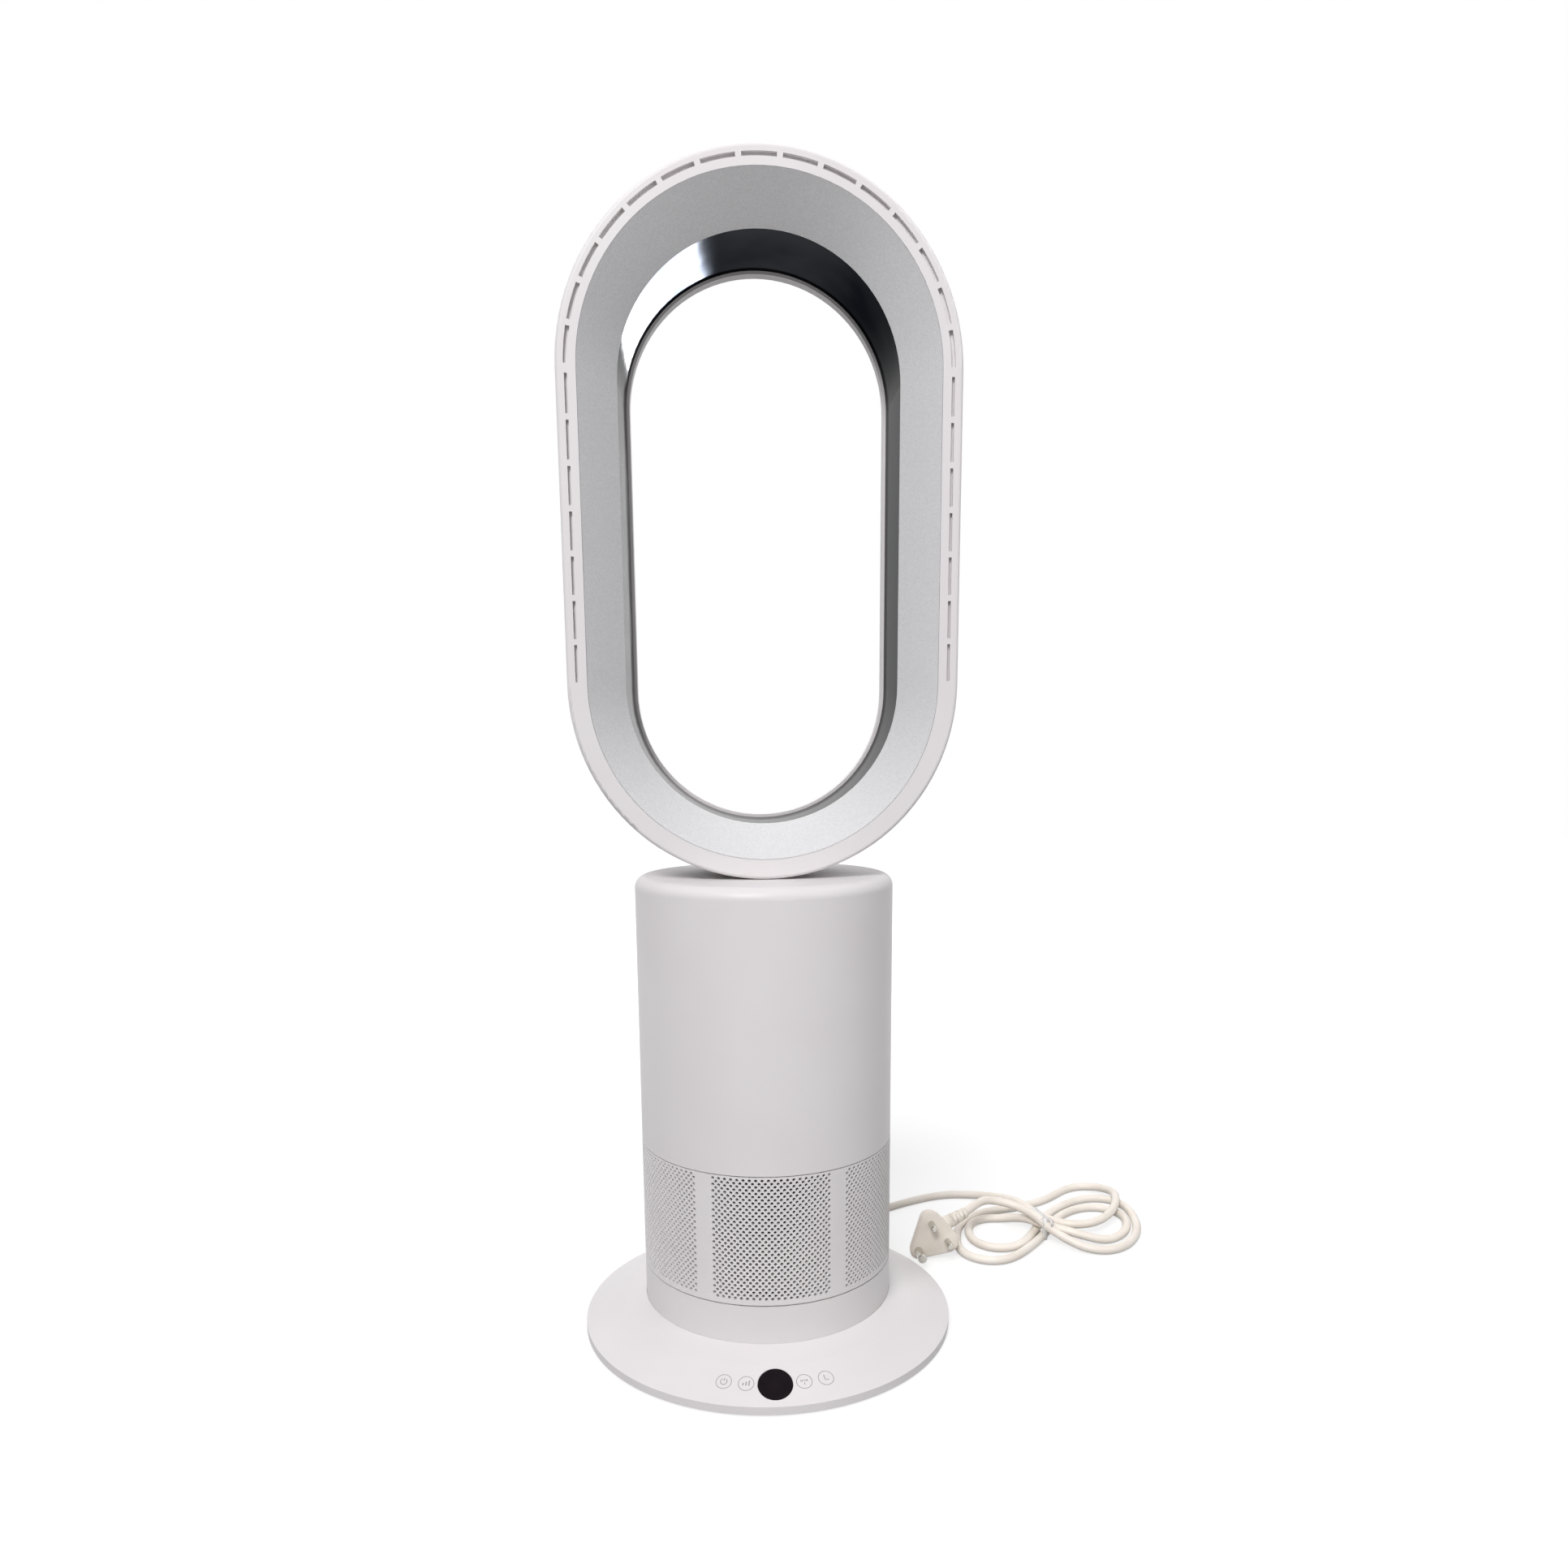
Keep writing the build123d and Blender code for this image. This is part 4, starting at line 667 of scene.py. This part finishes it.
class TOWERFAN_OT_mains_lead(bpy.types.Operator):
    """Lays the mains lead as one curve, from the boot through the tied hank to the plug"""
    bl_idname = "towerfan.mains_lead"
    bl_label = "Mains lead"

    def execute(self, context):
        diameter = sizes().lead_diameter
        points = [LEAD_START] + LEAD_POINTS + HANK_POINTS + [RELIEF_TIP]
        sheath = lead_sheath()
        lead = bpy.data.objects.new("mains_lead", lead_curve("mains_lead", points, diameter))
        bpy.context.scene.collection.objects.link(lead)
        lead.data.materials.append(sheath)
        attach(lead, "base")
        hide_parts("power_cord", "cord_hank", "cord_tail")
        spline_length(points)
        return {"FINISHED"}


# The boot's sizes in metres
BOOT_RADIUS, BOOT_TAPER, BOOT_TUCK = 0.0054, 0.0011, 0.014  # taper over the boot's length
RIBS, RIB_START, RIB_END = 6, 0.0022, 0.005  # RIB_END counts back from the boot's tip
RIB_SLOT, RIB_DEPTH, RIB_EDGE = 0.0015, 0.0006, 0.0003
BOOT_TIP = ((0.0012, 0.0043), (0.0003, 0.0040), (0.0, 0.0036))  # (back from the tip, radius)


class TOWERFAN_OT_cable_boot(bpy.types.Operator):
    """Builds the ribbed, tapered boot where the lead leaves the base"""
    bl_idname = "towerfan.cable_boot"
    bl_label = "Cable boot"

    def execute(self, context):
        length = sizes().boot_length
        end = Vector(LEAD_START) * MM
        out = Vector((end.x, end.y, 0)).normalized()
        root = end - out * length
        profile = [(-BOOT_TUCK, 0.0), (-BOOT_TUCK, BOOT_RADIUS), (0.0, BOOT_RADIUS)]
        for i in range(RIBS):
            along = RIB_START + i * (length - RIB_END) / RIBS
            radius = BOOT_RADIUS - BOOT_TAPER * along / length
            sunk = radius - RIB_DEPTH
            profile += [(along, radius), (along + RIB_EDGE, sunk)]
            profile += [(along + RIB_SLOT, sunk), (along + RIB_SLOT + RIB_EDGE, radius)]
        profile += [(length - back, radius) for back, radius in BOOT_TIP]
        mesh = turned_mesh("cable_boot", profile, root, out)
        piece = link_piece("cable_boot", mesh, plug_pvc(), "base")
        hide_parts("cable_gland")
        return {"FINISHED"}


# ---- Plug ---------------------------------------------------------------------------
# Sizes in millimetres, measured along the plug's own directions; the solids' pins stay in it
PLUG_MIDDLE = Vector((140.0, 74.0, 22.6)) * MM
PLUG_OUT = Vector((-0.017, -0.989, 0.145)).normalized()
PLUG_ACROSS = Vector((0.654, 0.0, -0.757))
PIN_SPACING, EARTH_DROP = 19.05, 22.23
PLUG_SHOULDER, PLUG_APEX = 9.5, 6.6  # radii round the upper pins and round the earth pin
PLUG_CORE = -7.0  # height of the face's middle under the two upper pins
PLUG_POINTS = 72
# (out from the face, how far the edge is drawn in), from the face to the rounded back
PLUG_RINGS = (
    (0.0, 9.0), (0.0, 1.5), (-0.25, 0.75), (-0.75, 0.25), (-1.5, 0.0), (-6.0, 0.3),
    (-12.0, 1.2), (-17.0, 2.3), (-20.0, 3.4), (-21.4, 4.6), (-22.0, 6.4), (-22.0, 9.0),
)
LEAST_APEX = 0.4  # what drawing in leaves of the apex radius
CORE_INSET = 9.0  # further drawing in that would shrink the edge to the core
RELIEF_START, RELIEF_LENGTH = (0.0, 3.0, -10.0), 31.0
RELIEF_DIRECTION = Vector((0.78, 0.62, 0.08)).normalized()
RELIEF_RADIUS, RELIEF_TAPER, RELIEF_LIP = 6.2, 1.8, 0.7
RELIEF_SIDES = 32
RELIEF_ROOT, RELIEF_NECK = (0.0, 8.0), (29.6, 30.6)  # plain places before and after the grooves
GROOVES, GROOVE_FIRST, GROOVE_PITCH = 4, 12.6, 4.4
GROOVE_STATIONS = (0.0, 0.25, 1.75, 2.0)  # along one groove, from rim to rim
GROOVE_DEPTH = 1.3
GROOVE_BRIDGE = 0.42  # each side, as a share of the radius, that is left standing


def plug_axes():
    """The face's own directions: across the two upper pins, up from the earth pin, and out."""
    across = (PLUG_ACROSS - PLUG_OUT * PLUG_ACROSS.dot(PLUG_OUT)).normalized()
    return across, PLUG_OUT.cross(across), PLUG_OUT


def hull(circles, middle, inset, count):
    """The line stretched round (x, y, radius) circles, drawn in by inset, as count points."""
    points = []
    for i in range(count):
        turn = 2 * math.pi * i / count
        east, north = math.cos(turn), math.sin(turn)
        reach, best = -1e9, None
        for x, y, radius in circles:
            support = (x - middle[0]) * east + (y - middle[1]) * north + radius - inset
            if support > reach:
                reach, best = support, (x + (radius - inset) * east, y + (radius - inset) * north)
        points.append(best)
    return points


def plug_outline(inset, count):
    """The face's edge: the hull of three circles round the pins."""
    half = PIN_SPACING / 2
    shoulders = [(-half, 0.0, PLUG_SHOULDER), (half, 0.0, PLUG_SHOULDER)]
    return hull(shoulders + [(0.0, -EARTH_DROP, PLUG_APEX)], (0.0, PLUG_CORE), inset, count)


def plug_mesh():
    """The moulding: a face with a soft edge, sides that taper back and a rounded back."""
    across, up, out = plug_axes()
    points = []
    for depth, inset in PLUG_RINGS:
        # Where the apex has no radius left to draw in, the edge shrinks towards the core instead
        drawn_in = min(inset, PLUG_APEX - LEAST_APEX)
        share = 1 - (inset - drawn_in) / CORE_INSET
        for x, y in plug_outline(drawn_in, PLUG_POINTS):
            x, y = x * share, PLUG_CORE + (y - PLUG_CORE) * share
            points.append(PLUG_MIDDLE + (across * x + up * y + out * depth) * MM)
    return mesh_of("plug_moulding", points, skin_faces(len(PLUG_RINGS), PLUG_POINTS))


def relief_mesh():
    """The plug's strain relief: a tapered sleeve with slots set alternately across it."""
    across, up, out = plug_axes()
    start = PLUG_MIDDLE + (
        across * RELIEF_START[0] + up * RELIEF_START[1] + out * RELIEF_START[2]) * MM
    side = RELIEF_DIRECTION.cross(Vector((0, 0, 1))).normalized()
    top = side.cross(RELIEF_DIRECTION)
    # (distance along, drop of the surface, groove or None)
    stations = [(along, 0.0, None) for along in RELIEF_ROOT]
    for groove in range(GROOVES):
        low = GROOVE_FIRST + GROOVE_PITCH * groove
        rim, near, far, end = (low + reach for reach in GROOVE_STATIONS)
        stations += [(rim, 0.0, None), (near, 0.0, groove), (far, 0.0, groove), (end, 0.0, None)]
    stations += [(along, 0.0, None) for along in RELIEF_NECK]
    stations.append((RELIEF_LENGTH, RELIEF_LIP, None))
    points = []
    for along, drop, groove in stations:
        radius = RELIEF_RADIUS - RELIEF_TAPER * along / RELIEF_LENGTH - drop
        spot = start + RELIEF_DIRECTION * along * MM
        for i in range(RELIEF_SIDES):
            angle = 2 * math.pi * i / RELIEF_SIDES
            here = radius
            if groove is not None:
                facing = math.cos(angle) if groove % 2 else math.sin(angle)
                if abs(facing) > GROOVE_BRIDGE:
                    here = radius - GROOVE_DEPTH
            points.append(spot + (side * math.cos(angle) + top * math.sin(angle)) * here * MM)
    return mesh_of("plug_relief", points, skin_faces(len(stations), RELIEF_SIDES))


class TOWERFAN_OT_plug(bpy.types.Operator):
    """Builds the plug's moulding and its slotted strain relief"""
    bl_idname = "towerfan.plug"
    bl_label = "Plug"

    def execute(self, context):
        skin = plug_pvc()
        moulding = link_piece("plug_moulding", plug_mesh(), skin, "base")
        relief = link_piece("plug_relief", relief_mesh(), skin, "base")
        relief.parent = moulding
        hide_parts("plug_body")
        return {"FINISHED"}


# ---- Tie ------------------------------------------------------------------------------
# Sizes in millimetres
TIE_PLACE, TIE_HALF_WIDTH, TIE_WALL = 233.0, 2.6, 0.4
# (y, z) of the strands' middles where the strip goes round them, and a point between them
TIE_STRANDS = ((99.0, 16.6), (132.0, 11.4), (103.0, 4.0), (120.0, 4.0))
TIE_CORE, TIE_SIDES = (115.0, 8.0), 48
TWIST_START, TWIST_LENGTH, TWIST_TURNS = Vector((233.0, 101.0, 20.6)), 11.0, 3.75
TWIST_STEPS, TWIST_DROP = 26, 3.0
TWIST_SWAY, TWIST_RISE = (4.0, 2.2), (1.6, 2.4)  # how far, and over how many radians
TWIST_SECTION = ((-1.3, -0.25), (1.3, -0.25), (1.3, 0.25), (-1.3, 0.25))


def tie_strip(strand_radius):
    """The points and faces of the flat strip that goes round the strands."""
    circles = [(y, z, strand_radius) for y, z in TIE_STRANDS]
    points, faces = [], []
    for wall in (0.0, TIE_WALL):
        line = hull(circles, TIE_CORE, -wall, TIE_SIDES)
        for edge in (-TIE_HALF_WIDTH, TIE_HALF_WIDTH):
            points += [Vector((TIE_PLACE + edge, y, z)) * MM for y, z in line]
    for i in range(TIE_SIDES):
        j = (i + 1) % TIE_SIDES
        a, b, c, d = (k * TIE_SIDES for k in range(4))
        faces += [[a + i, a + j, b + j, b + i], [c + i, d + i, d + j, c + j]]
        faces += [[a + i, c + i, c + j, a + j], [b + i, b + j, d + j, d + i]]
    return points, faces


def tie_twist(points, faces):
    """Adds the twisted ends: a strip that turns about its own middle line."""
    base = len(points)
    for i in range(TWIST_STEPS + 1):
        share = i / TWIST_STEPS
        line = TWIST_START + Vector((
            TWIST_SWAY[0] * math.sin(TWIST_SWAY[1] * share), -TWIST_LENGTH * share,
            TWIST_RISE[0] * math.sin(TWIST_RISE[1] * share) - TWIST_DROP * share))
        angle = 2 * math.pi * TWIST_TURNS * share
        across = Vector((math.cos(angle), 0, math.sin(angle)))
        normal = Vector((-math.sin(angle), 0, math.cos(angle)))
        points += [(line + across * s + normal * t) * MM for s, t in TWIST_SECTION]
    for i in range(TWIST_STEPS):
        for k in range(4):
            a, b = base + 4 * i + k, base + 4 * i + (k + 1) % 4
            faces.append([a, b, b + 4, a + 4])
    faces.append([base, base + 1, base + 2, base + 3])
    faces.append([base + 4 * TWIST_STEPS + k for k in (3, 2, 1, 0)])


class TOWERFAN_OT_hank_tie(bpy.types.Operator):
    """Wraps the clear strip round the hank's middle and twists its ends together"""
    bl_idname = "towerfan.hank_tie"
    bl_label = "Hank tie"

    def execute(self, context):
        points, faces = tie_strip(sizes().lead_diameter / MM / 2)
        tie_twist(points, faces)
        piece = link_piece(
            "hank_tie", mesh_of("hank_tie", points, faces), tie_film(), "base")
        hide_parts("cord_tie")
        return {"FINISHED"}


# ---- Finishes on the solids ---------------------------------------------------------------
class TOWERFAN_OT_finishes(bpy.types.Operator):
    """Gives every solid of the frame its finish, by the slot that the record names"""
    bl_idname = "towerfan.finishes"
    bl_label = "Finishes"

    def execute(self, context):
        by_slot = inner_finishes()
        by_slot["white_abs"] = white_abs()
        by_slot["silver_abs"] = silver_lacquer()
        by_slot["chrome_band"] = chrome_plate()
        by_slot["display_black"] = display_window()
        by_slot["cord_pvc"] = plug_pvc()
        by_slot["tie_plastic"] = tie_film()
        pins = finish(
            "Nickel plate on brass pins", "#B9B6AE", "#C9C6BE", (0.2, 0.3), 0.6, 0.01, 4.0,
            **{"Metallic": 1.0})
        for name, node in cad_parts.items():
            for slot in node.material_slots:
                made_from = slot.material.name.split(".")[0]
                slot.material = pins if name == "plug_pins" else by_slot[made_from]
        return {"FINISHED"}


# ---- Stage ---------------------------------------------------------------------------------
CAMERA_PLACE = Vector((-25.5, -741.7, 400.6)) * MM
CAMERA_LENS, CAMERA_SHIFT = 25.155, 0.1013
CAMERA_TURN, CAMERA_DIP, CAMERA_ROLL = -3.0, 9.8, -0.4
SOFT_COLOUR, SOFT_STRENGTH = (0.98, 0.98, 1.0, 1), 0.18  # of the light all round
FLOOR_REACH = 4.0  # metres to each side
FLOOR_PAINT = (0.36, 0.36, 0.36, 1)
# The floor's own glow rises to the backdrop's between these distances from the fan, in metres
FLOOR_FADE, FLOOR_GLOW = (0.3, 0.9), (0.7, 1.0)
# (name, place, aim, watts, width, height), in metres
KEY_LAMP = ("key_lamp", (-1.0, -2.7, 2.9), (0, 0, 0.35), 117, 1.4, 1.4)
FILL_LAMP = ("fill_lamp", (1.5, -1.1, 1.1), (0, 0, 0.4), 7, 0.8, 1.4)
TOP_LAMP = ("top_lamp", (0.0, 0.4, 2.3), (0, 0, 0.2), 15, 3.6, 1.2)
GLINT_LAMP = ("glint_lamp", (0.64, 2.0, 0.6), (-0.06, 0, 0.62), 170, 0.4, 1.05)
BACK_LAMP = ("back_lamp", (0.0, 2.4, 1.4), (0, 0, 0.4), 26, 1.4, 1.0)


def camera_matrix():
    """The camera's place and direction, from its turn, dip and roll."""
    turn, dip, roll = (math.radians(a) for a in (CAMERA_TURN, CAMERA_DIP, CAMERA_ROLL))
    right = Vector((math.cos(turn), math.sin(turn), 0))
    level = Vector((-math.sin(turn), math.cos(turn), 0))
    ahead = level * math.cos(dip) - Vector((0, 0, math.sin(dip)))
    up = right.cross(ahead)
    rolled = right * math.cos(roll) + up * math.sin(roll)
    raised = up * math.cos(roll) - right * math.sin(roll)
    matrix = Matrix((rolled, raised, -ahead)).transposed().to_4x4()
    matrix.translation = CAMERA_PLACE
    return matrix


def seen_directly(tree):
    """1 for what the camera, a mirror or a clear body shows, 0 for light that falls on things."""
    path = add_node(tree, "ShaderNodeLightPath")
    seen = path.outputs["Is Camera Ray"]
    for ray in ("Is Glossy Ray", "Is Transmission Ray"):
        seen = add_node(
            tree, "ShaderNodeMath", links={0: seen, 1: path.outputs[ray]},
            operation="MAXIMUM").outputs[0]
    return seen


def studio_world(pale):
    """The light all round: soft where it falls on things, the backdrop's colour where it shows."""
    world = bpy.data.worlds.new("Studio")
    world.use_nodes = True
    tree = world.node_tree
    tree.nodes.clear()
    soft = add_node(
        tree, "ShaderNodeBackground", {"Color": SOFT_COLOUR, "Strength": SOFT_STRENGTH})
    plain = add_node(tree, "ShaderNodeBackground", {"Color": pale, "Strength": 1.0})
    mixed = add_node(
        tree, "ShaderNodeMixShader",
        links={0: seen_directly(tree), 1: soft.outputs[0], 2: plain.outputs[0]})
    add_node(tree, "ShaderNodeOutputWorld", links={"Surface": mixed.outputs[0]})
    return world


def floor_paint(pale):
    """Matt emulsion, rolled: it takes soft shadows and fades into the backdrop."""
    material, tree = new_material("Matt painted floor")
    speck = grained(tree, 6.0)
    paint = add_node(
        tree, "ShaderNodeBsdfPrincipled",
        {"Base Color": FLOOR_PAINT, "Specular IOR Level": 0.1},
        {"Roughness": spread(tree, speck.outputs["Fac"], 0.8, 0.9)})
    place = add_node(tree, "ShaderNodeTexCoord")
    away = add_node(
        tree, "ShaderNodeVectorMath", links={0: place.outputs["Object"]}, operation="LENGTH")
    limits = {
        "From Min": FLOOR_FADE[0], "From Max": FLOOR_FADE[1],
        "To Min": FLOOR_GLOW[0], "To Max": FLOOR_GLOW[1],
    }
    fade = add_node(tree, "ShaderNodeMapRange", limits, {"Value": away.outputs["Value"]})
    shown = add_node(
        tree, "ShaderNodeMath", links={0: seen_directly(tree), 1: fade.outputs["Result"]},
        operation="MULTIPLY")
    glow = add_node(
        tree, "ShaderNodeEmission", {"Color": pale}, {"Strength": shown.outputs[0]})
    both = add_node(
        tree, "ShaderNodeAddShader", links={0: paint.outputs[0], 1: glow.outputs[0]})
    add_node(tree, "ShaderNodeOutputMaterial", links={"Surface": both.outputs[0]})
    return material


def studio_floor(pale):
    """The flat floor, which is not attached to the fan."""
    far = FLOOR_REACH
    mesh = mesh_of(
        "floor", [(-far, -far, 0), (far, -far, 0), (far, far, 0), (-far, far, 0)], [[0, 1, 2, 3]])
    floor = bpy.data.objects.new("floor", mesh)
    floor.data.materials.append(floor_paint(pale))
    bpy.context.scene.collection.objects.link(floor)
    return floor


def add_lamp(name, place, aim, power, width, height):
    """A rectangular lamp at a place, turned towards its aim."""
    data = bpy.data.lights.new(name, "AREA")
    data.shape = "RECTANGLE"
    data.size, data.size_y = width, height
    data.energy = power
    data.color = colours().soft_light
    lamp = bpy.data.objects.new(name, data)
    lamp.location = place
    lamp.rotation_euler = (Vector(aim) - Vector(place)).to_track_quat("-Z", "Y").to_euler()
    bpy.context.scene.collection.objects.link(lamp)
    return lamp


def studio_lamps(floor):
    """The soft lamps in front and above, the glint's lamp and the one behind."""
    for settings in (KEY_LAMP, FILL_LAMP, TOP_LAMP):
        add_lamp(*settings)
    # Only its reflection in the plated band is wanted, so it lights nothing else
    glint = add_lamp(*GLINT_LAMP)
    plated = bpy.data.collections.new("plated")
    plated.objects.link(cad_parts["throat_band"])
    glint.light_linking.receiver_collection = plated
    # Brightens the fan's back and sides, but throws no shadow to the front on the floor
    back = add_lamp(*BACK_LAMP)
    back.visible_glossy = False
    dark = bpy.data.collections.new("not_lit_from_behind")
    dark.objects.link(floor)
    dark.collection_objects[0].light_linking.link_state = "EXCLUDE"
    back.light_linking.receiver_collection = dark


def view_camera():
    """The camera, with its lens, its shift and its place."""
    data = bpy.data.cameras.new("view")
    data.lens, data.sensor_width, data.shift_y = CAMERA_LENS, 36.0, CAMERA_SHIFT
    data.clip_start = 0.01
    camera = bpy.data.objects.new("view", data)
    camera.matrix_world = camera_matrix()
    bpy.context.scene.collection.objects.link(camera)
    return camera


class TOWERFAN_OT_stage(bpy.types.Operator):
    """Makes the pale floor, the soft lamps, the light all round and the camera"""
    bl_idname = "towerfan.stage"
    bl_label = "Stage"

    def execute(self, context):
        scene = context.scene
        scene.view_settings.view_transform = "Standard"
        pale = (*colours().backdrop, 1)
        scene.world = studio_world(pale)
        studio_lamps(studio_floor(pale))
        scene.camera = view_camera()
        return {"FINISHED"}


class TOWERFAN_PT_panel(bpy.types.Panel):
    """Lists the fan's settings and the operators that dress it"""
    bl_idname = "TOWERFAN_PT_panel"
    bl_label = "Tower fan"
    bl_space_type = "VIEW_3D"
    bl_region_type = "UI"
    bl_category = "Tower fan"

    def draw(self, context):
        column = self.layout.column()
        for group in (context.scene.tower_fan_sizes, context.scene.tower_fan_colours):
            for name in group.bl_rna.properties.keys():
                if name not in ("rna_type", "name"):
                    column.prop(group, name)
        for operator in OPERATORS:
            column.operator(operator.bl_idname)


OPERATORS = (
    TOWERFAN_OT_finishes,
    TOWERFAN_OT_cable_boot,
    TOWERFAN_OT_plug,
    TOWERFAN_OT_hank_tie,
    TOWERFAN_OT_mains_lead,
    TOWERFAN_OT_intake_grille,
    TOWERFAN_OT_slot_baffle,
    TOWERFAN_OT_touch_symbols,
    TOWERFAN_OT_stage,
)
CLASSES = (TowerFanSizes, TowerFanColours, *OPERATORS, TOWERFAN_PT_panel)


def register():
    for cls in CLASSES:
        bpy.utils.register_class(cls)
    bpy.types.Scene.tower_fan_sizes = bpy.props.PointerProperty(type=TowerFanSizes)
    bpy.types.Scene.tower_fan_colours = bpy.props.PointerProperty(type=TowerFanColours)


def unregister():
    del bpy.types.Scene.tower_fan_colours
    del bpy.types.Scene.tower_fan_sizes
    for cls in reversed(CLASSES):
        bpy.utils.unregister_class(cls)


def main():
    register()
    bpy.ops.towerfan.finishes()
    bpy.ops.towerfan.cable_boot()
    bpy.ops.towerfan.plug()
    bpy.ops.towerfan.hank_tie()
    bpy.ops.towerfan.mains_lead()
    bpy.ops.towerfan.intake_grille()
    bpy.ops.towerfan.slot_baffle()
    bpy.ops.towerfan.touch_symbols()
    bpy.ops.towerfan.stage()


if __name__ == "__main__":
    main()
